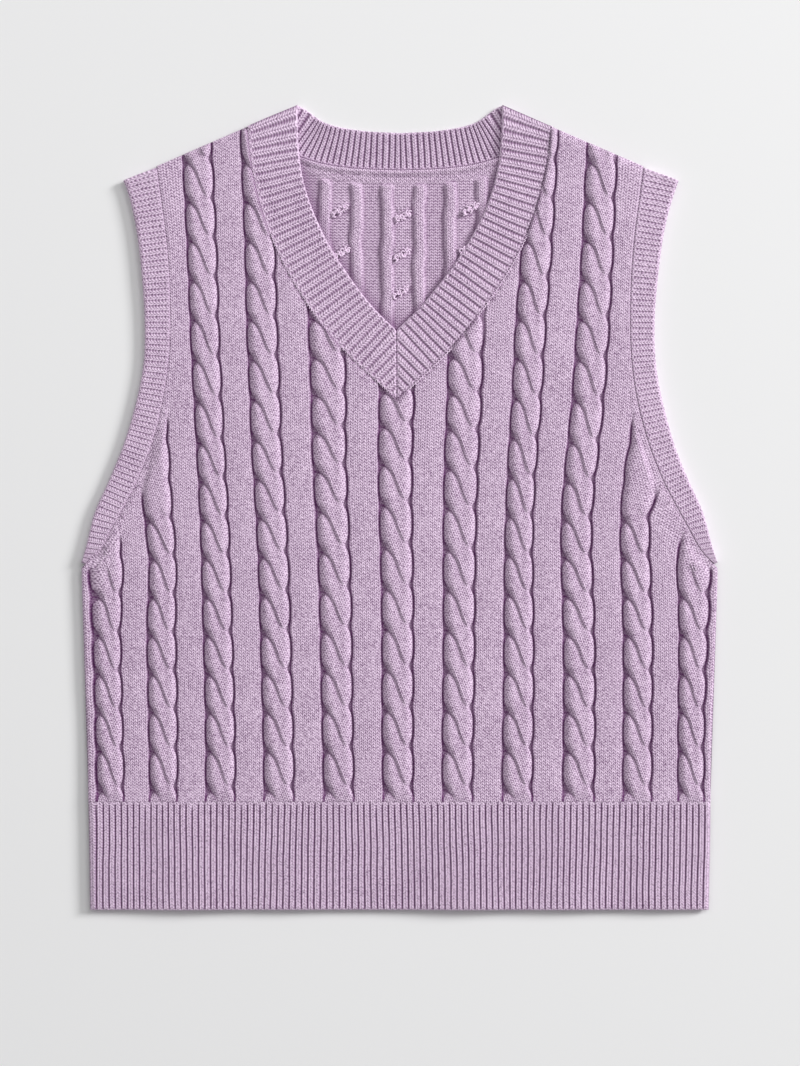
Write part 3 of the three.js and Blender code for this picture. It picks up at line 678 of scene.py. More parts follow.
def cable_relief(share, wale, up, sizes):
    """Wall and openness of a cable whose strands cross from upper left to lower right. The openness is
    painted shade: at the cable's edges and notches, in a thin dark line along each crease's start and in a
    soft shadow below each crease.
    """
    phase = crossing_turns(share, wale, up, sizes)
    turns = phase - crease_fall(share)
    above = phase - np.floor(phase)
    cable = nearest_cable(wale)
    crossed = 1 - smooth_step(up, cable["crossed_to"] - 4, cable["crossed_to"] + 5)
    left = np.exp(-((((turns + 0.5) % 1 - 0.5) / 0.13) ** 2)) * crossed
    right = np.exp(-((((turns + 0.4) % 1 - 0.5) / 0.11) ** 2)) * crossed
    left_notch = 0.01 + 0.17 * left
    right_notch = 0.01 + 0.08 * right
    inner = np.clip((share - left_notch) / (1 - left_notch - right_notch), 0, 1)
    dome = 1 - np.abs(2 * inner - 1) ** 4.6
    reach = 0.05 + 0.38 * float(smooth_step(share, 0.12, 0.58))
    under = np.exp(-(((1 - above) / reach) ** 1.3))
    over = np.exp(-((above / 0.05) ** 1.5))
    valley = np.maximum(under, over) * crossed
    sinking = CREASE_DEPTH * (1 - smooth_step(share, 0.5, 1.0))
    gutter = sizes.gutter_wall / MM
    crest = sizes.cable_wall / MM
    rise = dome * (1 - sinking * valley)
    # Painted shadow: a thin dark line along the start of each crease
    line = np.exp(-((np.minimum(above, 1 - above) / 0.035) ** 2)) * crossed
    line = line * (1 - smooth_step(share, 0.22, 0.52))
    # Painted shade in the notches between the lobes and down the cable's edges
    floor = 0.42 * np.maximum(left * (share < 0.5), right * (share > 0.5))
    openness = floor + (1 - floor) * smooth_step(dome, 0.0, 0.26)
    # Painted shadow that the upper strand casts on the strand below each crease
    openness = openness * (1 - 0.7 * line) * (1 - 0.65 * under * sinking * crossed)
    outward = share if wale > 0 else 1 - share
    kept = kept_at(cable, outward, up)
    plain = sizes.plain_wall / MM + 0.4
    wall = gutter + (crest - gutter) * rise
    return plain + (wall - plain) * kept, 1 + (openness - 1) * kept


def edge_sway(wale, up, sizes):
    """Sideways shift of the wales at a cable's edges, drawn in where its strands cross."""
    cable = nearest_cable(wale)
    from_middle = wale - math.copysign(cable["middle"], wale)
    rightwards = math.copysign(1.0, from_middle)
    window = math.exp(-(((abs(from_middle) - cable["wide"] / 2) / 3.0) ** 2))
    turns = (up - arch(wale, up) - FIRST_CROSSING_UP) / (sizes.crossing_pitch / MM)
    away = (turns + (0.4 if rightwards > 0 else 0.5)) % 1 - 0.5
    drawn = np.exp(-((away / 0.2) ** 2)) - 0.35
    amount = RIGHT_DRAW if rightwards > 0 else LEFT_DRAW
    outward = 1.0 if abs(wale) > cable["middle"] else 0.0
    return -rightwards * amount * drawn * window * kept_at(cable, outward, up)


def plain_relief(wale, up, sizes):
    """Wall and openness of the plain strips and the purl gutters beside the cables, whose low openness
    paints shade into the gutters.
    """
    cable = nearest_cable(wale)
    from_middle = abs(wale) - cable["middle"]
    into = abs(from_middle) - cable["wide"] / 2
    bank = float(smooth_step(into, GUTTER_WIDTH * 0.35, GUTTER_WIDTH * 1.35))
    crown = 0.4 * float(smooth_step(into, GUTTER_WIDTH, 6 * GUTTER_WIDTH))
    kept = kept_at(cable, 1.0 if from_middle > 0 else 0.0, up)
    gutter = sizes.gutter_wall / MM
    plain = sizes.plain_wall / MM
    wall = gutter + (plain - gutter) * bank + crown
    # Painted shade in the purl gutters
    openness = float(smooth_step(into, GUTTER_WIDTH * 0.3, GUTTER_WIDTH * 1.7))
    return plain + crown + (wall - plain - crown) * kept, 1 + (openness - 1) * kept


def front_top(wale):
    """Height at which a wale of the front ends, at the V, the shoulder or the armhole."""
    size = abs(wale)
    if size < NECK_WALE - 1e-6:
        return crossing(lambda up: front_half(size, up) > read(NECK_SEAM, "half", up), 372.5, 560)
    if size <= ARM_WALE + 1e-6:
        return crossing(lambda up: up < shoulder_up(front_half(size, up)), 480, 600)
    return crossing(lambda up: front_half(size, up) < read(ARMHOLE, "seam", up), 249, 460)


def front_wales():
    """The wales of the front, closest together at the gutters and on the cables."""
    wales = [0.0]
    for number, cable in enumerate(CABLES):
        for side in (-1, 1) if number else (1,):
            wales.extend(side * cable["middle"] + (CABLE_SHARES - 0.5) * cable["wide"])
        outer = cable["middle"] + cable["wide"] / 2
        banks = [0.35, 0.7, 1.0, 1.3, 1.7, 2.6]
        inner_end = outer + banks[-1]
        half = [outer + step for step in banks]
        if number < len(CABLES) - 1:
            following = CABLES[number + 1]
            start = following["middle"] - following["wide"] / 2
            half += [start - step for step in banks]
            half += list(np.linspace(inner_end, start - banks[-1], 5)[1:-1])
        else:
            half = [outer + step for step in banks[:4]]
            half += list(np.linspace(outer + 2, BODY_HALF, 6))
        if number == 3:
            half = [wale for wale in half if abs(wale - ARM_WALE) > 1 and not 155 < wale < 159]
            half += [ARM_WALE - 1.6, ARM_WALE - 0.7, ARM_WALE, *ARMHOLE_LINES]
        wales.extend(half)
        wales.extend(-wale for wale in half)
    marks = [-NECK_WALE, NECK_WALE]
    kept = [wale for wale in wales if min(abs(wale - mark) for mark in marks) > 0.45]
    ordered = sorted(set(round(float(wale), 4) for wale in kept + marks))
    return [ordered[0]] + [b for a, b in zip(ordered, ordered[1:]) if b - a > 0.05]


def meets_seam(wale):
    """Height at which a wale starts to run along a seam, or None."""
    if abs(abs(wale) - NECK_WALE) < 1e-6:
        return NECK_WALE_MEETS_SEAM
    return ARM_WALE_MEETS_SEAM if abs(abs(wale) - ARM_WALE) < 1e-6 else None


def line_heights(bottom, top, wale, share, meets, sizes):
    """Heights of the points on one wale of the front, close together at both ends."""
    if share is None:
        between = np.linspace(bottom, top, max(2, round((top - bottom) / PLAIN_ROW)))
    else:
        finely = np.arange(bottom, top, 0.5)
        counted = crossing_turns(share, wale, finely, sizes)
        turns = np.arange(math.floor(counted[0]), math.ceil(counted[-1]) + 1)
        wanted = np.sort((turns[:, None] + CROSSING_ROWS[None, :]).ravel())
        wanted = wanted[(wanted > counted[0]) & (wanted < counted[-1])]
        between = np.interp(wanted, counted, finely)
    room = END_ROWS[-1] * 1.2
    between = between[(between > bottom + room) & (between < top - room)]
    heights = np.concatenate([bottom + END_ROWS, between, top - END_ROWS])
    if meets is not None:
        heights = np.append(heights[np.abs(heights - meets) > 0.3], meets)
    return np.sort(heights)


def shared_part(line, by, whole):
    """The points of a wale that face its neighbour, and the order in which they are joined."""
    uncut = whole or line["meets"] is None
    cut = None if uncut else line["outer_cut"]
    inner_cut = None if uncut else line["inner_cut"]
    return line["outer"][:cut], line[by][:cut], line["inner"][:inner_cut], line["inner_up"][:inner_cut]


def weave_panel(cloth, lines, strap):
    """Joins a panel's lines: outer faces, plain inside, and the walls round its edges."""
    for a, b in zip(lines, lines[1:]):
        whole = strap(a["wale"]) and strap(b["wale"]) and a["wale"] * b["wale"] > 0
        by = "phase" if a["share"] is not None and b["share"] is not None else "up"
        outer_a, order_a, inner_a, up_a = shared_part(a, by, whole)
        outer_b, order_b, inner_b, up_b = shared_part(b, by, whole)
        cloth.weave(outer_a, order_a, outer_b, order_b)
        cloth.weave(inner_b, up_b, inner_a, up_a)
        cloth.weave([outer_a[0], outer_b[0]], [0, 1], [inner_a[0], inner_b[0]], [0, 1])
        cloth.weave([inner_a[-1], inner_b[-1]], [0, 1], [outer_a[-1], outer_b[-1]], [0, 1])
    first, last = lines[0], lines[-1]
    cloth.weave(first["inner"], first["inner_up"], first["outer"], first["up"])
    cloth.weave(last["outer"], last["up"], last["inner"], last["inner_up"])
    for line in lines:
        if line["meets"] is None:
            continue
        above = slice(line["outer_cut"] - 1, None)
        inner_above = slice(line["inner_cut"] - 1, None)
        outer, outer_up = line["outer"][above], line["up"][above]
        inner, inner_up = line["inner"][inner_above], line["inner_up"][inner_above]
        if (line["wale"] > 0) == (abs(line["wale"]) > NECK_WALE + 1):
            cloth.weave(outer, outer_up, inner, inner_up)
        else:
            cloth.weave(inner, inner_up, outer, outer_up)


def panel_line(cloth, wale, heights, place, surface, inside, share, meets, phase):
    """Adds one wale of a panel to the cloth, on its outer side and on its plain inside."""
    across = place(heights)
    rise, depth, purl, strand = surface(across, heights)
    knit = np.stack([np.full(len(heights), wale), heights], axis=1)
    outer = cloth.line(np.stack([across, heights, rise], axis=1), knit, depth, purl, strand)
    flat = [heights[0], heights[-1]]
    if meets is not None:
        flat += list(np.arange(meets, heights[-1] - 5, 6))
    flat = np.array(sorted(flat))
    flat_across = place(flat)
    inside_points = np.stack([flat_across, flat, np.full(len(flat), inside)], axis=1)
    # The plain inside gets an openness of 0.8, a little painted shade
    inner = cloth.line(inside_points, inside_points[:, :2], 0.8, 1.0)
    line = {
        "wale": wale,
        "share": share,
        "meets": meets,
        "outer": outer,
        "up": heights,
        "phase": phase,
        "inner": inner,
        "inner_up": flat,
    }
    if meets is not None:
        line["outer_cut"] = int(np.searchsorted(heights, meets + 1e-6))
        line["inner_cut"] = int(np.searchsorted(flat, meets + 1e-6))
    return line


def on_strap(wale):
    """Whether a wale of the front runs on up beside the V."""
    return NECK_WALE - 1e-6 <= abs(wale) <= ARM_WALE + 1e-6


def front_edge_share(wale, across, up):
    """Share of the wall that is left near the front's seams and its rounded sides."""
    leaning = np.abs(across - lean_at(abs(wale), up))
    neck = seam_distance(NECK_SEAM, "half", leaning, up, 1)
    arm = seam_distance(ARMHOLE, "seam", np.abs(across), up, -1)
    seams = np.minimum(np.where(up > 372, neck, 50), np.where(up > UNDERARM_UP, arm, 50))
    ends = np.minimum(seams, (shoulder_up(across) - up) * 0.92)
    shoulder = (shoulder_up(across) - up) * 0.92
    side = BODY_HALF + fan(up) - np.abs(across)
    rolled = round_edge(side, 3.0, 0.5)
    return round_edge(ends, 1.0, 0.75) * rolled * round_edge(shoulder, 5.0, 0.3)


def seam_shade(wale, across, up):
    """Openness beside the neck and arm seams, where the linking draws the cloth in: painted shade in the
    groove along each seam.
    """
    leaning = np.abs(across - lean_at(abs(wale), up))
    neck = seam_distance(NECK_SEAM, "half", leaning, np.maximum(up, 372.5), 1)
    arm = seam_distance(ARMHOLE, "seam", np.abs(across), np.maximum(up, UNDERARM_UP), -1)
    near_neck = np.exp(-((neck / 1.0) ** 2)) * (up > 371)
    near_arm = np.exp(-((arm / 0.9) ** 2)) * (up > 248)
    return 1 - 0.75 * near_neck - 0.3 * near_arm


def turned_knit(wale, up):
    """Knit coordinates turned so that the wales run along a cable's strands."""
    sine, cosine = math.sin(STRAND_TILT), math.cos(STRAND_TILT)
    return np.stack([sine * wale + cosine * up, sine * up - cosine * wale], axis=1)


def front_place(wale, top, sizes, up):
    """Where a wale of the front lies at each height."""
    free = smooth_step(top - up, 1, 8) * smooth_step(up - PANEL_BOTTOM, 0, 6)
    straight = np.sign(wale) * front_half(abs(wale), up) + lean_at(abs(wale), up)
    return straight + edge_sway(wale, up, sizes) * free


def front_surface(wale, share, sizes, across, up):
    """Rise, openness, purl and strand coordinates along a wale of the front. The openness is painted
    shade, with more along the seams.
    """
    if share is None:
        wall, depth = plain_relief(wale, up, sizes)
        strand = None
    else:
        wall, depth = cable_relief(share, wale, up, sizes)
        strand = turned_knit(wale, up)
    arm = seam_distance(ARMHOLE, "seam", np.abs(across), up, -1)
    formed = np.where((up > UNDERARM_UP) & (up < 470), smooth_step(arm, 2, 7), 1)
    plain = sizes.plain_wall / MM + 0.3
    wall = plain + (wall - plain) * formed
    depth = 1 + (depth - 1) * formed
    wall = RIB_CREST + (wall - RIB_CREST) * smooth_step(up, RIB_DEPTH, RIB_DEPTH + 9)
    rim = front_edge_share(wale, across, up)
    # Painted shade along the neck and arm seams
    return FRONT_INSIDE + wall * rim, depth * seam_shade(wale, across, up), 0.0, strand


def make_front_panel(context):
    sizes = context.scene.vest_sizes
    cable_knit, _ = materials_of(context)
    cloth = Cloth()
    lines = []
    for wale in front_wales():
        share = cable_share(wale)
        meets = meets_seam(wale)
        top = front_top(wale)
        heights = line_heights(PANEL_BOTTOM, top, wale, share, meets, sizes)
        place = partial(front_place, wale, top, sizes)
        surface = partial(front_surface, wale, share, sizes)
        phase = heights if share is None else crossing_turns(share, wale, heights, sizes)
        lines.append(panel_line(cloth, wale, heights, place, surface, FRONT_INSIDE, share, meets, phase))
    weave_panel(cloth, lines, on_strap)
    piece = placed("front_panel_knit", cloth.mesh("front_panel_knit", [cable_knit]))
    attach(piece, "root")
    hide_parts("front_panel")
    return piece


def back_top(wale):
    """Height at which a wale of the back ends, at the neck, the shoulder or the armhole."""
    size = abs(wale)
    if size <= BACK_CORNER_WALE:
        return crossing(lambda up: up < read(BACK_NECK, "seam", back_half(size, up), "across"), 500, 600)
    if size <= ARM_WALE + 1e-6:
        return crossing(lambda up: up < shoulder_up(back_half(size, up)), 480, 600)
    return crossing(lambda up: back_half(size, up) < read(ARMHOLE, "seam", up), 249, 460)


def back_wales():
    """The wales of the back, close together where its inside shows."""
    middle = np.arange(-84, 84.1, 1.2)
    half = [88, 92, 98, BACK_CORNER_WALE, 110, 118, 130, ARM_EASED_FROM, ARM_WALE, *ARMHOLE_LINES]
    half += [162, 168, 176, 186, 195, 203, 210, 216, 219, 221, 223, 224.6, 225.6, BODY_HALF]
    return sorted([*middle, *half, *(-wale for wale in half)])


def back_relief(wale, up):
    """Rise, openness and purl of the back's inside: raised backs of gutters and cables. The openness
    paints light and shade: lighter ridges and knots, darker hollows, ridge feet, a line below the rolled
    edge, a band along the neckband's edges and the foot of the V.
    """
    apart = min((wale - middle for middle in BACK_CABLE_MIDDLES), key=abs)
    sway = 0.55 * np.sin(up / 7.3 + wale / 14) + 0.3 * np.sin(up / 3.4 + wale / 9)
    beside = np.abs(apart + sway) - BACK_GUTTER_OFFSET
    below = read(BACK_NECK, "seam", abs(wale), "across") - up
    deep = NECK_STRIP["deep"]
    ridge = np.maximum(0, 1 - np.abs(beside / 4.5) ** 5) * smooth_step(below, deep, deep + 2.2)
    # Painted shade at the foot of each ridge, deeper on one side
    shaded = np.where((apart + sway) * beside < 0, 1.1, 0.6)
    foot = np.exp(-(((np.abs(beside) - 5.1) / 0.9) ** 2)) * shaded
    inner = max(0.0, 1 - (apart / 8.2) ** 4) if abs(apart) < 8.2 else 0.0
    turns = (up - 0.45 * apart - FIRST_CROSSING_UP + 4) / 28.6
    after = (turns - np.round(turns)) * 28.6
    knot = np.exp(-((after / 2.4) ** 2)) * (0.7 + 0.5 * np.sin(apart * 2.2 + up / 2))
    hollow = np.exp(-(((after + 5.0) / 2.2) ** 2))
    rise = 2.2 * ridge + inner * (0.2 + 1.0 * knot - 0.5 * hollow)
    # Painted light and shade: ridges and knots lighter, hollows darker
    depth = 0.78 + 0.22 * ridge + inner * (0.1 + 0.2 * knot - 0.35 * hollow)
    depth = depth * (1 - 0.5 * foot * smooth_step(below, deep, deep + 6))
    strip = 1 - smooth_step(below, deep - 1.4, deep)
    rolled = np.sqrt(np.clip(1 - ((below - 1.7) / 1.9) ** 2, 0, 1))
    step = np.exp(-(((below - 4.1) / 0.7) ** 2))
    braid = 0.2 * np.cos(2 * math.pi * (up + wale * 0.8) / 3.4) * (below > 4.4)
    rise = rise * (1 - strip) + (0.7 + braid + 1.6 * rolled) * strip
    # Painted shade below the rolled edge, and the braid's turns lighter and darker
    depth = depth * (1 - strip) + (0.98 + 0.4 * braid - 0.4 * step) * strip
    # Painted shade along the neckband's edges, wider on the left, and low in the V
    half = read(NECK_EDGE, "half", np.maximum(up, 423))
    across = wale - lean_at(0, up)
    under = 1 - smooth_step(half - np.abs(across), -1, np.where(across < 0, 13, 7))
    depth = depth * (1 - 0.5 * under) * (1 - 0.45 * (1 - smooth_step(up, 423, 445)))
    shown = smooth_step(up, 405, 425) * (1 - smooth_step(abs(wale), 92, 98))
    return rise * shown, np.clip(depth, 0, 1), (1 - ridge) * (1 - strip)


def back_place(wale, up):
    """Where a wale of the back lies at each height."""
    return np.sign(wale) * back_half(abs(wale), up)


def back_surface(wale, top, across, up):
    """Rise, openness and purl along a wale of the back, which has no strands. The openness is painted
    shade.
    """
    rise, depth, purl = back_relief(wale, up)
    arm = np.where(up > UNDERARM_UP, seam_distance(ARMHOLE, "seam", np.abs(across), up, -1), 50)
    side = BODY_HALF + fan(up) - np.abs(across)
    ends = np.minimum(np.minimum(arm, up - RIB_DEPTH), np.minimum(top - up, side))
    rim = round_edge(ends, 1.2, 0.8)
    return BACK_WALL * rim + rise, depth, purl, None


def back_heights(wale, top, meets):
    """Heights of the points on one wale of the back, close together where its inside shows."""
    step = 1.3 if abs(wale) < 84.1 else 9
    between = np.concatenate([np.arange(90, 403, 12), np.arange(404, 590, step)])
    between = between[between < top - 4]
    heights = np.sort(np.concatenate([PANEL_BOTTOM + END_ROWS, between, top - END_ROWS]))
    if meets is None:
        return heights
    return np.sort(np.append(heights[np.abs(heights - meets) > 0.3], meets))


def make_back_panel(context):
    cable_knit, _ = materials_of(context)
    cloth = Cloth()
    lines = []
    for wale in back_wales():
        top = back_top(wale)
        meets = ARM_WALE_MEETS_SEAM if abs(abs(wale) - ARM_WALE) < 1e-6 else None
        heights = back_heights(wale, top, meets)
        place = partial(back_place, wale)
        surface = partial(back_surface, wale, top)
        lines.append(panel_line(cloth, wale, heights, place, surface, 0.0, None, meets, heights))
    weave_panel(cloth, lines, on_back_strap)
    piece = placed("back_panel_knit", cloth.mesh("back_panel_knit", [cable_knit]))
    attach(piece, "root")
    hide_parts("back_panel")
    return piece


def on_back_strap(wale):
    """Whether a wale of the back runs on up between the armholes."""
    return abs(wale) <= ARM_WALE + 1e-6


def rail(points):
    """A line through many points: its places by share of its length, and that length."""
    points = np.asarray(points, dtype=float)
    lengths = np.concatenate([[0.0], np.cumsum(np.hypot(*np.diff(points, axis=0).T))])

    def at(share):
        reach = np.clip(share, 0, 1) * lengths[-1]
        return np.stack([np.interp(reach, lengths, points[:, axis]) for axis in (0, 1)], axis=-1)

    return at, lengths[-1]


def moved_aside(points, distance):
    """The same line moved to the left of the way it runs."""
    points = np.asarray(points, dtype=float)
    run = np.gradient(points, axis=0)
    run /= np.hypot(*run.T)[:, None]
    return points + np.stack([-run[:, 1], run[:, 0]], axis=1) * distance


def squared_shares(seam, edge, shares, whole, settle=14.0):
    """Shares of the free edge that ribs reach, square to it, and fanned out at both ends."""
    grid = np.linspace(0, 1, 1500)
    places = edge(grid)
    starts = seam(shares)
    reach = np.hypot(starts[:, None, 0] - places[None, :, 0], starts[:, None, 1] - places[None, :, 1])
    nearest = grid[np.argmin(reach, axis=1)]
    nearest = np.convolve(np.pad(nearest, 12, mode="edge"), np.ones(25) / 25, mode="valid")
    start = np.exp(-shares * whole / settle)
    end = np.exp(-(1 - shares) * whole / settle)
    nearest = nearest - nearest[0] * start + (1 - nearest[-1]) * end
    return np.maximum.accumulate(np.clip(nearest, 0, 1))


def rib_turns(ribs, columns=RIB_COLUMNS):
    """Counts along a band at which its sections stand."""
    return np.append((np.arange(ribs)[:, None] + columns[None, :]).ravel(), float(ribs))


def band_parts(width):
    """Shares across a band from its seam to its free edge, close together at both."""
    near = np.array([0, 0.2, 0.6, 1.2, 2.0, 3.0]) / width
    inside = np.linspace(near[-1], 1 - near[-1], max(2, round((width - 6) / 5) + 1))[1:-1]
    return np.concatenate([near, inside, 1 - near[::-1]])


def band_rounding(parts, width, at_seam=0.62):
    """Share of a band's wall across it, less at both edges."""
    seam = round_edge(parts * width, 1.0, at_seam)
    return seam * round_edge((1 - parts) * width, BAND_ROUNDING, 0.35)


def rib_wale(context, turn):
    """Knit coordinate across a rib: one wale on its crest, none in the gutter."""
    rib = math.floor(turn + 1e-9)
    spread = min(0.5, max(-0.5, (turn - rib - 0.5) * RIB_KNIT_SPREAD))
    return (rib + 0.5 + spread) * context.scene.vest_sizes.wale_width / MM


def brightness(parts, width, shade):
    """Openness across a band: painted shade along its seam, where it is drawn in."""
    return np.append(1 - shade * np.exp(-((parts * width / 0.9) ** 2)), [1.0, 1.0])


class Band:
    """A grid of points round a band's section and along it, and what its ribs need."""

    def __init__(self):
        self.stations = []

    def station(self, places, rises, rib, cover, knit, run, bright):
        """One section: its places in plan, heights, rib count, how raised its ribs are and how open, which
        paints shade.
        """
        self.stations.append((places, rises, rib, cover, knit, run, bright))

    def mesh(self, name, leaning, mirrored, closed):
        """The band's mesh, capped at both ends unless it closes into a ring."""
        size = len(self.stations[0][0])
        points = []
        runs = []
        side = -1 if mirrored else 1
        for places, rises, _, _, _, run, _ in self.stations:
            lean = [lean_at(abs(x), y) for x, y in places] if leaning else 0
            points.append(np.stack([places[:, 0] * side + lean, places[:, 1], rises], axis=1))
            runs.append(np.tile([run[0] * side, run[1], 0.0], (size, 1)))
        count = len(self.stations)
        faces = []
        for i in range(count if closed else count - 1):
            j = (i + 1) % count
            for k in range(size):
                beside = (k + 1) % size
                quad = (i * size + k, j * size + k, j * size + beside, i * size + beside)
                faces.append(quad[::-1] if mirrored else quad)
        if not closed:
            first = tuple(range(size))
            last = tuple((count - 1) * size + k for k in range(size))
            faces.append(first if mirrored else first[::-1])
            faces.append(last[::-1] if mirrored else last)
        mesh = bpy.data.meshes.new(name)
        mesh.from_pydata(laid(np.concatenate(points)), [], faces)
        used = np.empty(len(mesh.loops), dtype=np.int32)
        mesh.loops.foreach_get("vertex_index", used)
        knit = np.concatenate([station[4] for station in self.stations]).astype(np.float32)[used]
        mesh.uv_layers.new(name="knit").data.foreach_set("uv", knit.ravel())
        ribs = np.repeat([float(station[2]) for station in self.stations], size)
        covers = np.concatenate([station[3] for station in self.stations])
        brights = np.concatenate([station[6] for station in self.stations])
        for word, values in (("rib", ribs), ("cover", covers), ("bright", brights)):
            attribute = mesh.attributes.new(word, "FLOAT", "POINT")
            attribute.data.foreach_set("value", values.astype(np.float32))
        attribute = mesh.attributes.new("run", "FLOAT_VECTOR", "POINT")
        attribute.data.foreach_set("vector", np.concatenate(runs).astype(np.float32).ravel())
        mesh.shade_smooth()
        return mesh


def uneven_start(gutter):
    """How far below the panel a gutter of the hem opens, in millimetres."""
    return 0.9 + 0.8 * math.sin(gutter * 2.3) + 0.4 * math.sin(gutter * 7.1)


def band_station(
    band, seam, edge, parts, width, rib, floor, wall, lift, wale, run, cover=1.0, shade=SEAM_SHADE
):
    """A section of a band that lies on a floor, from its seam over its top to its free edge."""
    outer = seam + (edge - seam) * parts[:, None]
    inner = np.array([edge, seam])
    rises = floor + wall * band_rounding(parts, width, 0.62 if shade else 1.0) + lift * parts
    below = [floor + lift, floor]
    start = 0.1 if shade else uneven_start(round(rib))
    covers = cover * smooth_step(parts * width, start, start + 2.1)
    covers = covers * smooth_step((1 - parts) * width, 0.1, 2.2)
    knit = np.stack([np.full(len(parts) + 2, wale), np.append(parts, [1, 0]) * width], axis=1)
    places = np.concatenate([outer, inner])
    # Painted shade along the band's seam
    bright = brightness(parts, width, shade)
    band.station(places, np.append(rises, below), rib, np.append(covers, [0, 0]), knit, run, bright)


def runs_along(places):
    """Unit directions along a row of places."""
    run = np.gradient(places, axis=0)
    return run / np.maximum(np.hypot(*run.T), 1e-9)[:, None]


def rib_tree():
    """Node tree that sinks purl gutters between a band's ribs and lets the ribs wander. The openness that
    it stores paints shade into the gutters, down each rib's middle and along the seam.
    """
    tree = bpy.data.node_groups.new("knit_rib", "GeometryNodeTree")
    face = tree.interface
    face.new_socket("Geometry", in_out="INPUT", socket_type="NodeSocketGeometry")
    defaults = {"Gutter depth": 0.0013, "Gutter share": 0.1, "Wale dip": 0.2, "Wander": 0.0006}
    defaults.update({"Gutter shade": 0.9, "Middle shade": 0.3})
    for word, value in defaults.items():
        socket = face.new_socket(word, in_out="INPUT", socket_type="NodeSocketFloat")
        socket.default_value = value
    face.new_socket("Yarn", in_out="INPUT", socket_type="NodeSocketMaterial")
    face.new_socket("Geometry", in_out="OUTPUT", socket_type="NodeSocketGeometry")
    nodes = Nodes(tree)
    geometry = nodes.node("NodeGroupInput")
    depth, share, dip, wander, shade, dim, yarn = (nodes.again(geometry, number) for number in range(1, 8))
    rib = nodes.attribute("rib")
    cover = nodes.attribute("cover")
    bright = nodes.attribute("bright")
    run = nodes.attribute("run", "FLOAT_VECTOR")
    place = nodes.node("GeometryNodeInputPosition")
    from_gutter = 0.5 - abs(rib.fract() - 0.5)
    gutter = (-((from_gutter / share) ** 2)).exp()
    middle = (-(((0.5 - from_gutter) / 0.13) ** 2)).exp()
    sunk = gutter + middle * dip
    aside = (nodes.noise(place, 34.0, 1.0) - 0.5) * wander * cover * 2
    down = nodes.node("ShaderNodeCombineXYZ", sockets={2: -(sunk * depth * cover)})
    along = nodes.node("ShaderNodeVectorMath", {"operation": "SCALE"}, {0: run, 3: aside})
    offset = nodes.node("ShaderNodeVectorMath", {"operation": "ADD"}, {0: down, 1: along})
    moved = nodes.node("GeometryNodeSetPosition", sockets={"Geometry": geometry, "Offset": offset})
    centre = (-(((0.5 - from_gutter) / 0.06) ** 2)).exp()
    # Painted shade: gutters, the rib's middle and the seam's brightness lower the openness
    openness = (1 - gutter * cover * shade) * (1 - centre * cover * dim) * bright
    stored = nodes.node(
        "GeometryNodeStoreNamedAttribute",
        {"data_type": "FLOAT", "domain": "POINT"},
        {"Geometry": moved, "Name": "depth", "Value": openness},
    )
    realized = nodes.node("GeometryNodeRealizeInstances", sockets={0: stored})
    dressed = nodes.node("GeometryNodeSetMaterial", sockets={"Geometry": realized, "Material": yarn})
    nodes.node("NodeGroupOutput", sockets={0: dressed})
    return tree


def tree_named(name, make):
    """A node tree, made the first time that it is asked for."""
    return bpy.data.node_groups.get(name) or make()


def grown(name, mesh, tree, values):
    """An object whose mesh is what a node tree makes of another mesh."""
    piece = placed(name, mesh)
    modifier = piece.modifiers.new("growth", "NODES")
    modifier.node_group = tree
    for item in tree.interface.items_tree:
        if item.in_out == "INPUT" and item.name in values:
            modifier[item.identifier] = values[item.name]
    graph = bpy.context.evaluated_depsgraph_get()
    graph.update()
    shown = piece.evaluated_get(graph)
    plain = bpy.data.meshes.new_from_object(shown, preserve_all_data_layers=True, depsgraph=graph)
    piece.modifiers.clear()
    piece.data = plain
    plain.name = name
    plain.shade_smooth()
    return piece


def ribbed(context, name, mesh, node, look):
    """A finished band: ribs grown on it, and what the frame needs to know of it."""
    ribs = context.scene.vest_ribs
    _, rib_yarn = materials_of(context)
    values = {
        "Gutter depth": ribs.gutter_depth * look["deep"],
        "Gutter share": ribs.gutter_share * look["wide"],
        "Wale dip": ribs.wale_dip,
        "Wander": ribs.wander,
        "Gutter shade": ribs.gutter_shade * look["shade"],
        "Middle shade": ribs.middle_shade * look["middle"],
        "Yarn": rib_yarn,
    }
    piece = grown(name, mesh, tree_named("knit_rib", rib_tree), values)
    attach(piece, "root")
    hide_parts(node)
    return piece


def hem_lift(across):
    """Height by which the front hem's free edge is lifted in soft waves."""
    away = [(across - wave["across"]) / wave["wide"] for wave in HEM_WAVES]
    return sum(wave["lift"] * np.exp(-(share**2)) for wave, share in zip(HEM_WAVES, away))


def make_hem_rib(context, name, node, front):
    """The deep ribbed band round the hem, its front or its back."""
    width = RIB_DEPTH - 0.05
    turns = rib_turns(HEM_RIBS) if front else np.arange(0, HEM_RIBS + 0.1, 1.0)
    parts = band_parts(width)
    band = Band()
    for turn in turns:
        share = turn / HEM_RIBS
        seam = np.array([BODY_HALF * (2 * share - 1), width])
        sway = 1.6 * math.sin(seam[0] / 38 + 1.2) * math.sin(math.pi * share)
        edge = np.array([HEM_HALF * (2 * share - 1) + sway, 0.0])
        lift = float(hem_lift(edge[0])) if front else 0.0
        side = float(round_edge(min(share, 1 - share) * 2 * HEM_HALF, 4.0, 0.3))
        wall = (RIB_CREST if front else BACK_WALL) * side
        floor = FRONT_INSIDE if front else 0.0
        cover = side if front else 0.0
        wale = rib_wale(context, turn)
        band_station(band, seam, edge, parts, width, turn, floor, wall, lift, wale, (1.0, 0.0), cover, 0.0)
    mesh = band.mesh(name, False, False, False)
    return ribbed(context, name, mesh, node, RIB_LOOKS["hem"])


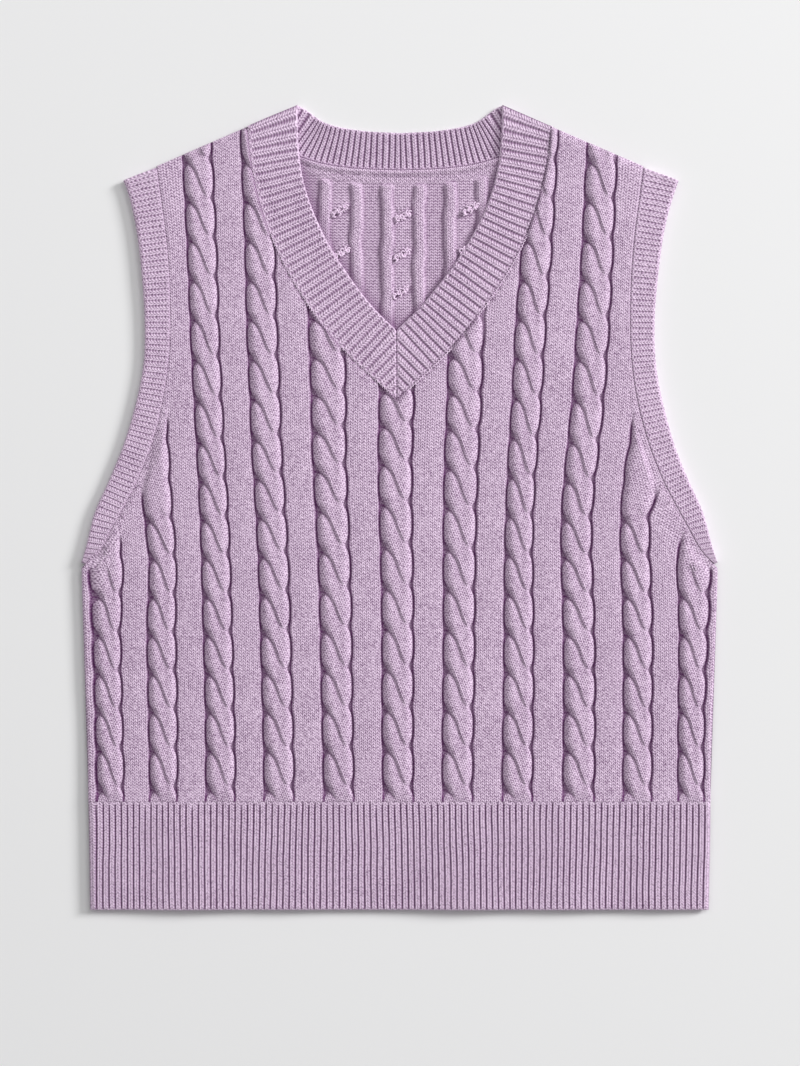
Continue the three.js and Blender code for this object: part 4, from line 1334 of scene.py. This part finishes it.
def make_neckband(context, name, node, mirrored):
    """Half of the V's band, from the shoulder to the mitre at the centre front."""
    heights = np.linspace(NECK_SEAM[-1]["up"], NECK_SEAM[0]["up"], 80)
    seam_line = np.stack([read(NECK_SEAM, "half", heights), heights], axis=1)
    seam, whole = rail(moved_aside(seam_line, -0.1))
    top = np.linspace(NECK_POINT["up"], NECK_EDGE[0]["up"], 80)
    edge_line = np.stack([np.maximum(0.05, read(NECK_EDGE, "half", top)), top], axis=1)
    edge, _ = rail(edge_line)
    mitre = NECK_EDGE[0]["up"] - NECK_SEAM[0]["up"]
    corner = (whole - mitre / math.sqrt(2)) / whole
    end = 1 - 0.6 / whole
    ribs = round(whole / NECK_RIB_PITCH)
    parts = band_parts(36.0)
    turns = rib_turns(ribs)
    shares = turns / ribs * end
    seams = seam(shares)
    upper = np.minimum(shares / corner, 1)
    free = squared_shares(lambda share: seam(share * corner), edge, upper, whole * corner)
    mitred = NECK_EDGE[0]["up"] - mitre * (shares - corner) / (1 - corner)
    on_mitre = np.stack([np.full(len(shares), 0.05), mitred], axis=1)
    edges = np.where((shares <= corner)[:, None], edge(free), on_mitre)
    along = runs_along(seams)
    band = Band()
    for turn, a, b, run in zip(turns, seams, edges, along):
        width = float(np.hypot(*(b - a)))
        wale = rib_wale(context, turn)
        width = max(width, 3.0)
        band_station(band, a, b, parts, width, turn, FRONT_INSIDE, RIB_CREST, 0.0, wale, run)
    mesh = band.mesh(name, True, mirrored, False)
    return ribbed(context, name, mesh, node, RIB_LOOKS["neck"])


def make_neckband_back(context):
    """The band of the back neck, seen from its inside."""
    reach = NECK_SEAM[-1]["half"]
    across = np.linspace(reach, -reach, 120)
    seam_line = np.stack([across, read(BACK_NECK, "seam", np.abs(across), "across")], axis=1)
    seam, whole = rail(moved_aside(seam_line, -0.1))
    near = np.linspace(NECK_POINT["across"], -NECK_POINT["across"], 120)
    edge, _ = rail(np.stack([near, read(BACK_NECK, "edge", np.abs(near), "across")], axis=1))
    ribs = round(whole / BACK_NECK_RIB_PITCH)
    parts = band_parts(28.0)
    turns = rib_turns(ribs)
    seams = seam(turns / ribs)
    edges = edge(squared_shares(seam, edge, turns / ribs, whole, 9.0))
    band = Band()
    for turn, a, b, run in zip(turns, seams, edges, runs_along(seams)):
        width = float(np.hypot(*(b - a)))
        wale = rib_wale(context, turn)
        band_station(band, a, b, parts, width, turn, 0.0, BACK_WALL, 0.0, wale, run)
    mesh = band.mesh("neckband_back_knit", False, False, False)
    name = "neckband_back_knit"
    look = RIB_LOOKS["back_neck"]
    return ribbed(context, name, mesh, "neckband_back", look)


def make_armband(context, name, node, mirrored):
    """A ring of rib round an armhole, folded flat at the shoulder and at the underarm."""
    ends = ARM_BAND_ENDS
    seam_ups = np.linspace(ends["seam"][0], ends["seam"][1], 90)
    edge_ups = np.linspace(ends["edge"][0], ends["edge"][1], 90)
    seam_line = np.stack([read(ARMHOLE, "seam", seam_ups), seam_ups], axis=1)
    seam, whole = rail(moved_aside(seam_line, -0.1))
    edge, _ = rail(np.stack([read(ARMHOLE, "edge", edge_ups), edge_ups], axis=1))
    ribs = round(whole / ARM_RIB_PITCH)
    width = 17.0
    parts = band_parts(width)
    rounded = band_rounding(parts, width)
    top = FRONT_INSIDE + RIB_CREST * rounded
    bottom = BACK_WALL - BACK_WALL * rounded
    turns = rib_turns(ribs)
    runs = runs_along(seam(turns / ribs))
    grid = np.linspace(0, 1, 400)
    edge_grid = squared_shares(seam, edge, grid, whole, 9.0)
    band = Band()

    def station(share, turn, rises, inner_rise, cover, run, way=(0.0, 0.0), out=0.0):
        a = seam(share)
        b = edge(np.interp(share, grid, edge_grid))
        outer = a + (b - a) * parts[:, None] + np.array(way) * ARM_FOLD_REACH * out
        inner = np.array([b, a]) + np.array(way) * 0.25 * out
        covers = cover * smooth_step(np.minimum(parts, 1 - parts) * width, 0.1, 2.0)
        wale = rib_wale(context, turn)
        knit = np.stack([np.full(len(parts) + 2, wale), np.append(parts, [1, 0]) * width], axis=1)
        places = np.concatenate([outer, inner])
        # Painted shade along the armband's seam
        bright = brightness(parts, width, ARM_SEAM_SHADE)
        rises = np.append(rises, [inner_rise] * 2)
        band.station(places, rises, turn, np.append(covers, [0, 0]), knit, run, bright)

    for turn, run in zip(turns, runs):
        cover = float(smooth_step(min(turn, ribs - turn), 0, 1.5))
        station(turn / ribs, turn, top, FRONT_INSIDE, cover, run)
    for angle in FOLD_ANGLES:
        share = (1 + math.cos(angle)) / 2
        rises = bottom + (top - bottom) * share
        inner_rise = BACK_WALL + (FRONT_INSIDE - BACK_WALL) * share
        station(1.0, ribs, rises, inner_rise, 0.0, runs[-1], SHOULDER_FOLD_WAY, math.sin(angle))
    for turn in np.arange(ribs, -0.5, -0.5):
        station(turn / ribs, turn, bottom, BACK_WALL, 0.0, runs[0])
    for angle in FOLD_ANGLES:
        share = (1 - math.cos(angle)) / 2
        rises = bottom + (top - bottom) * share
        inner_rise = BACK_WALL + (FRONT_INSIDE - BACK_WALL) * share
        station(0.0, 0, rises, inner_rise, 0.0, runs[0], UNDERARM_FOLD_WAY, math.sin(angle))
    mesh = band.mesh(name, False, mirrored, True)
    return ribbed(context, name, mesh, node, RIB_LOOKS["arm"])


def stitch_tree():
    """Node tree that sets a small loop of yarn on each point, turned along its seam."""
    tree = bpy.data.node_groups.new("linking_loops", "GeometryNodeTree")
    face = tree.interface
    face.new_socket("Geometry", in_out="INPUT", socket_type="NodeSocketGeometry")
    for word, value in (("Loop radius", 0.0007), ("Yarn radius", 0.0003), ("Unevenness", 0.35)):
        socket = face.new_socket(word, in_out="INPUT", socket_type="NodeSocketFloat")
        socket.default_value = value
    face.new_socket("Yarn", in_out="INPUT", socket_type="NodeSocketMaterial")
    face.new_socket("Geometry", in_out="OUTPUT", socket_type="NodeSocketGeometry")
    nodes = Nodes(tree)
    geometry = nodes.node("NodeGroupInput")
    loop_radius, yarn_radius, unevenness, yarn = (nodes.again(geometry, number) for number in range(1, 5))
    arc_sockets = {"Resolution": 8, "Radius": loop_radius, "Sweep Angle": 3.9}
    arc = nodes.node("GeometryNodeCurveArc", {"mode": "RADIUS"}, arc_sockets)
    ring_sockets = {"Resolution": 6, "Radius": yarn_radius}
    ring = nodes.node("GeometryNodeCurvePrimitiveCircle", {"mode": "RADIUS"}, ring_sockets)
    tube_sockets = {"Curve": arc, "Profile Curve": ring, "Fill Caps": True}
    loop = nodes.node("GeometryNodeCurveToMesh", sockets=tube_sockets)
    jitter = nodes.random(-0.8, 0.8, 5)
    size = nodes.attribute("size") * nodes.random(0.85, 1.15, 9)
    turned = nodes.attribute("turn") + jitter * unevenness
    angles = nodes.node("ShaderNodeCombineXYZ", sockets={0: 0.25, 2: turned})
    instances = nodes.node(
        "GeometryNodeInstanceOnPoints",
        sockets={"Points": geometry, "Instance": loop, "Rotation": angles, "Scale": size},
    )
    realized = nodes.node("GeometryNodeRealizeInstances", sockets={0: instances})
    dressed = nodes.node("GeometryNodeSetMaterial", sockets={"Geometry": realized, "Material": yarn})
    nodes.node("NodeGroupOutput", sockets={0: dressed})
    return tree


def loop_points(line, pitch, rise, side, leaning, inward):
    """Places for loops along a seam on one side of the vest, and the way each one faces."""
    at, whole = rail(moved_aside(line, inward))
    shares = np.arange(0.5, whole / pitch) * pitch / whole
    places = at(shares)
    runs = runs_along(places)
    turns = np.arctan2(runs[:, 1], runs[:, 0] * side)
    lean = np.array([lean_at(abs(x), y) for x, y in places]) if leaning else 0
    points = np.stack([places[:, 0] * side + lean, places[:, 1], np.full(len(places), rise)], axis=1)
    return points, turns


def knot_points():
    """Places for the small loops that stand up where cables cross, on the inside of the back."""
    steps = np.array([-5.0, -3.4, -1.9, -0.3, 1.2, 2.8, 4.4])
    rows = []
    for knot in KNOTS:
        for row in (-1.3, 1.0):
            rise = BACK_WALL + 1.6 + 0.4 * np.sin(steps * 2.1 + knot["up"] + row)
            up = knot["up"] + row + steps * 0.5 + 0.9 * np.sin(steps * 1.9 + knot["across"] + row)
            points = np.stack([knot["across"] + steps + 0.4 * row, up, rise], axis=1)
            rows.append((points, 2.0 * np.sin(steps * 2.7 + row), 1.0, 1.55))
    return rows


def decrease_points(side):
    """Places for the marks that decreases leave beside an armhole, painted dark as shade."""
    ups = np.array(DECREASE_UPS)
    across = side * (read(ARMHOLE, "seam", ups) - 3.4)
    points = np.stack([across, ups, np.full(len(ups), FRONT_INSIDE + 2.75)], axis=1)
    # An openness of 0.3 paints the marks dark, as shade
    return points, np.full(len(ups), 0.6 * side), 0.3, 1.0


def make_seam_loops(context):
    """Loops of yarn that link the bands to the panels, the knots of the back and the decreases."""
    stitches = context.scene.vest_stitches
    _, rib_yarn = materials_of(context)
    neck_ups = np.linspace(NECK_SEAM[-1]["up"], NECK_SEAM[0]["up"] + 2, 120)
    neck = np.stack([read(NECK_SEAM, "half", neck_ups), neck_ups], axis=1)
    arm_ups = np.linspace(ARM_BAND_ENDS["seam"][0] + 3, ARM_BAND_ENDS["seam"][1], 120)
    arm = np.stack([read(ARMHOLE, "seam", arm_ups), arm_ups], axis=1)
    pitch = stitches.pitch / MM
    rows = knot_points()
    for side in (-1, 1):
        # The third value of a row is its openness: the arm's loops take a little painted shade
        rows.append((*loop_points(neck, pitch, FRONT_INSIDE + 2.75, side, True, 0.1), 1.0, 1.0))
        rows.append((*loop_points(arm, pitch, FRONT_INSIDE + 2.5, side, False, 0.1), 0.95, 0.9))
        rows.append(decrease_points(side))
    points = np.concatenate([row[0] for row in rows])
    mesh = bpy.data.meshes.new("seam_loops")
    mesh.from_pydata(laid(points), [], [])
    columns = {
        "turn": np.concatenate([row[1] for row in rows]),
        "depth": np.concatenate([np.full(len(row[0]), row[2]) for row in rows]),
        "size": np.concatenate([np.full(len(row[0]), row[3]) for row in rows]),
    }
    for word, values in columns.items():
        attribute = mesh.attributes.new(word, "FLOAT", "POINT")
        attribute.data.foreach_set("value", values.astype(np.float32))
    values = {
        "Loop radius": stitches.loop_radius,
        "Yarn radius": stitches.yarn_radius,
        "Unevenness": stitches.unevenness,
        "Yarn": rib_yarn,
    }
    piece = grown("seam_loops", mesh, tree_named("linking_loops", stitch_tree), values)
    sizes = context.scene.vest_sizes
    light_spot = LEG_MIDDLE * [sizes.wale_width, sizes.course_height] / MM
    knit = piece.data.uv_layers.new(name="knit")
    knit.data.foreach_set("uv", np.tile(light_spot, len(piece.data.loops)).astype(np.float32))
    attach(piece, "root")
    return piece


class VestSizes(PropertyGroup):
    """Walls and pitches of the knit."""

    plain_wall: FloatProperty(
        name="Plain wall",
        description="Wall of the plain knit strips",
        default=0.0026,
        unit="LENGTH",
    )
    gutter_wall: FloatProperty(
        name="Gutter wall",
        description="Wall at the purl gutters",
        default=0.001,
        unit="LENGTH",
    )
    cable_wall: FloatProperty(
        name="Cable wall",
        description="Wall at a cable's crest",
        default=0.0047,
        unit="LENGTH",
    )
    crossing_pitch: FloatProperty(
        name="Crossing pitch",
        description="Length from one cable crossing to the next",
        default=0.0286,
        unit="LENGTH",
    )
    wale_width: FloatProperty(
        name="Wale width",
        description="Width of one knitted stitch",
        default=0.00292,
        unit="LENGTH",
    )
    course_height: FloatProperty(
        name="Course height",
        description="Height of one knitted stitch",
        default=0.00208,
        unit="LENGTH",
    )
    stitch_relief: FloatProperty(
        name="Stitch relief",
        description="Height of a stitch over its neighbours",
        default=0.0005,
        unit="LENGTH",
    )


class VestYarn(PropertyGroup):
    """Colours of the yarn and of its painted shade."""

    loops: FloatVectorProperty(
        name="Loops",
        description="Colour of the yarn where light falls on it",
        subtype="COLOR",
        default=(0.875, 0.685, 0.88),
        min=0,
        max=1,
    )
    # Colour of the painted shade in the small gaps between stitches
    shade_between_loops: FloatVectorProperty(
        name="Between loops",
        description="Colour in the small gaps between stitches",
        subtype="COLOR",
        default=(0.24, 0.13, 0.25),
        min=0,
        max=1,
    )
    # Colour of the painted shade deep in the gutters and creases
    gutter: FloatVectorProperty(
        name="Gutter",
        description="Colour deep in the gutters and creases",
        subtype="COLOR",
        default=(0.115, 0.024, 0.12),
        min=0,
        max=1,
    )
    cloth_under: FloatVectorProperty(
        name="Surface",
        description="Colour of the surface that the vest lies on",
        subtype="COLOR",
        default=(0.86, 0.86, 0.865),
        min=0,
        max=1,
    )


class VestRibs(PropertyGroup):
    """Ribs of the hem, the neckband and the armbands."""

    gutter_depth: FloatProperty(
        name="Gutter depth",
        description="Depth of a purl gutter below its rib",
        default=0.0013,
        unit="LENGTH",
    )
    gutter_share: FloatProperty(
        name="Gutter share",
        description="Half width of a gutter, as a share of the rib pitch",
        default=0.1,
        min=0.01,
        max=0.5,
    )
    # Strength of the painted shade in the gutters
    gutter_shade: FloatProperty(
        name="Gutter shade",
        description="How dark a gutter is",
        default=0.95,
        min=0,
        max=1,
    )
    # Strength of the painted shade down each rib's middle
    middle_shade: FloatProperty(
        name="Middle shade",
        description="How dark a rib's middle is",
        default=0.3,
        min=0,
        max=1,
    )
    wale_dip: FloatProperty(
        name="Wale dip",
        description="Depth between a rib's two wales, as a share of the gutter",
        default=0.22,
        min=0,
        max=1,
    )
    wander: FloatProperty(
        name="Wander",
        description="How far a rib strays from its straight line",
        default=0.0006,
        unit="LENGTH",
    )


class VestStitches(PropertyGroup):
    """Loops that link the bands to the panels."""

    pitch: FloatProperty(
        name="Pitch",
        description="Length from one loop to the next",
        default=0.0023,
        unit="LENGTH",
    )
    loop_radius: FloatProperty(
        name="Loop radius",
        description="Radius of a loop",
        default=0.0008,
        unit="LENGTH",
    )
    yarn_radius: FloatProperty(
        name="Yarn radius",
        description="Radius of the yarn",
        default=0.00038,
        unit="LENGTH",
    )
    unevenness: FloatProperty(
        name="Unevenness",
        description="How unevenly the loops are turned",
        default=0.35,
        min=0,
        max=1,
    )


class VEST_OT_front_panel(Operator):
    """Knit the front panel with its plain strips, gutters and cables"""

    bl_idname = "vest.front_panel"
    bl_label = "Front panel"

    def execute(self, context):
        make_front_panel(context)
        return {"FINISHED"}


class VEST_OT_back_panel(Operator):
    """Knit the back panel, whose inside shows in the V-neck"""

    bl_idname = "vest.back_panel"
    bl_label = "Back panel"

    def execute(self, context):
        make_back_panel(context)
        return {"FINISHED"}


class VEST_OT_hem_ribs(Operator):
    """Knit the deep ribbed hem, front and back"""

    bl_idname = "vest.hem_ribs"
    bl_label = "Hem ribs"

    def execute(self, context):
        make_hem_rib(context, "front_hem_knit", "front_hem_rib", True)
        make_hem_rib(context, "back_hem_knit", "back_hem_rib", False)
        return {"FINISHED"}


class VEST_OT_neckband(Operator):
    """Knit the ribbed neckband: two mitred halves and the back neck"""

    bl_idname = "vest.neckband"
    bl_label = "Neckband"

    def execute(self, context):
        make_neckband(context, "neckband_right_knit", "neckband_right", False)
        make_neckband(context, "neckband_left_knit", "neckband_left", True)
        make_neckband_back(context)
        return {"FINISHED"}


class VEST_OT_armbands(Operator):
    """Knit the ribbed rings round the armholes"""

    bl_idname = "vest.armbands"
    bl_label = "Armbands"

    def execute(self, context):
        make_armband(context, "armband_right_knit", "armband_right", False)
        make_armband(context, "armband_left_knit", "armband_left", True)
        return {"FINISHED"}


class VEST_OT_seam_loops(Operator):
    """Link the bands to the panels with loops of yarn"""

    bl_idname = "vest.seam_loops"
    bl_label = "Seam loops"

    def execute(self, context):
        make_seam_loops(context)
        return {"FINISHED"}


class VEST_OT_stage(Operator):
    """Set the pale surface, the soft light and the camera straight above"""

    bl_idname = "vest.stage"
    bl_label = "Stage"

    def execute(self, context):
        make_stage(context)
        return {"FINISHED"}


def pale_surface(yarn):
    """The matt surface that the vest lies on."""
    material = bpy.data.materials.new("pale_surface")
    material.use_nodes = True
    nodes = Nodes(material.node_tree)
    material.node_tree.nodes.clear()
    colour = (*yarn.cloth_under, 1.0)
    sockets = {"Base Color": colour, "Roughness": 0.9, "Specular IOR Level": 0.1}
    surface = nodes.node("ShaderNodeBsdfPrincipled", sockets=sockets)
    nodes.node("ShaderNodeOutputMaterial", sockets={"Surface": surface})
    return material


def soft_light(name, place, size, power):
    """A round area light that shines on the middle of the vest."""
    light = bpy.data.lights.new(name, "AREA")
    light.shape = "DISK"
    light.size = size
    light.energy = power
    lamp = placed(name, light)
    lamp.location = place
    way = -np.array(place, dtype=float)
    turn = math.atan2(way[1], way[0])
    tilt = math.acos(-way[2] / np.linalg.norm(way))
    lamp.rotation_euler = (tilt, 0, turn - math.pi / 2)


def make_stage(context):
    """A pale floor, a broad soft light from the upper right, and a camera straight above."""
    half = FLOOR_HALF
    corners = [(-half, -half, 0), (half, -half, 0), (half, half, 0), (-half, half, 0)]
    mesh = bpy.data.meshes.new("floor")
    mesh.from_pydata(corners, [], [(0, 1, 2, 3)])
    mesh.materials.append(pale_surface(context.scene.vest_yarn))
    floor = placed("floor", mesh)
    for name, place, size, power in LIGHTS:
        soft_light(name, place, size, power)
    world = bpy.data.worlds.new("studio")
    context.scene.world = world
    world.use_nodes = True
    background = world.node_tree.nodes["Background"]
    background.inputs["Color"].default_value = (1, 1, 1, 1)
    background.inputs["Strength"].default_value = SKY_STRENGTH
    context.scene.view_settings.view_transform = "Standard"
    camera = bpy.data.cameras.new("camera")
    camera.sensor_width = 36
    camera.lens = camera.sensor_width * (CAMERA_PLACE[2] - CLOTH_LEVEL) / VIEW_HEIGHT
    holder = placed("camera", camera)
    holder.location = CAMERA_PLACE
    context.scene.camera = holder


class VEST_PT_build(Panel):
    """Buttons for the vest's pieces and its stage, and their sizes"""

    bl_idname = "VEST_PT_build"
    bl_label = "Vest"
    bl_space_type = "VIEW_3D"
    bl_region_type = "UI"
    bl_category = "Vest"

    def draw(self, context):
        for word in STEPS:
            self.layout.operator("vest." + word)
        for name in GROUPS:
            group = getattr(context.scene, name)
            box = self.layout.box()
            for word in group.__annotations__:
                box.prop(group, word)


STEPS = ("stage", "front_panel", "back_panel", "hem_ribs", "neckband", "armbands", "seam_loops")
GROUPS = {
    "vest_sizes": VestSizes,
    "vest_ribs": VestRibs,
    "vest_stitches": VestStitches,
    "vest_yarn": VestYarn,
}
CLASSES = (
    *GROUPS.values(),
    VEST_OT_stage,
    VEST_OT_front_panel,
    VEST_OT_back_panel,
    VEST_OT_hem_ribs,
    VEST_OT_neckband,
    VEST_OT_armbands,
    VEST_OT_seam_loops,
    VEST_PT_build,
)


def register():
    for each in CLASSES:
        bpy.utils.register_class(each)
    for word, group in GROUPS.items():
        setattr(bpy.types.Scene, word, PointerProperty(type=group))


def unregister():
    for word in GROUPS:
        delattr(bpy.types.Scene, word)
    for each in reversed(CLASSES):
        bpy.utils.unregister_class(each)


def main():
    register()
    bpy.ops.vest.stage()
    bpy.ops.vest.front_panel()
    bpy.ops.vest.back_panel()
    bpy.ops.vest.hem_ribs()
    bpy.ops.vest.neckband()
    bpy.ops.vest.armbands()
    bpy.ops.vest.seam_loops()


if __name__ == "__main__":
    main()
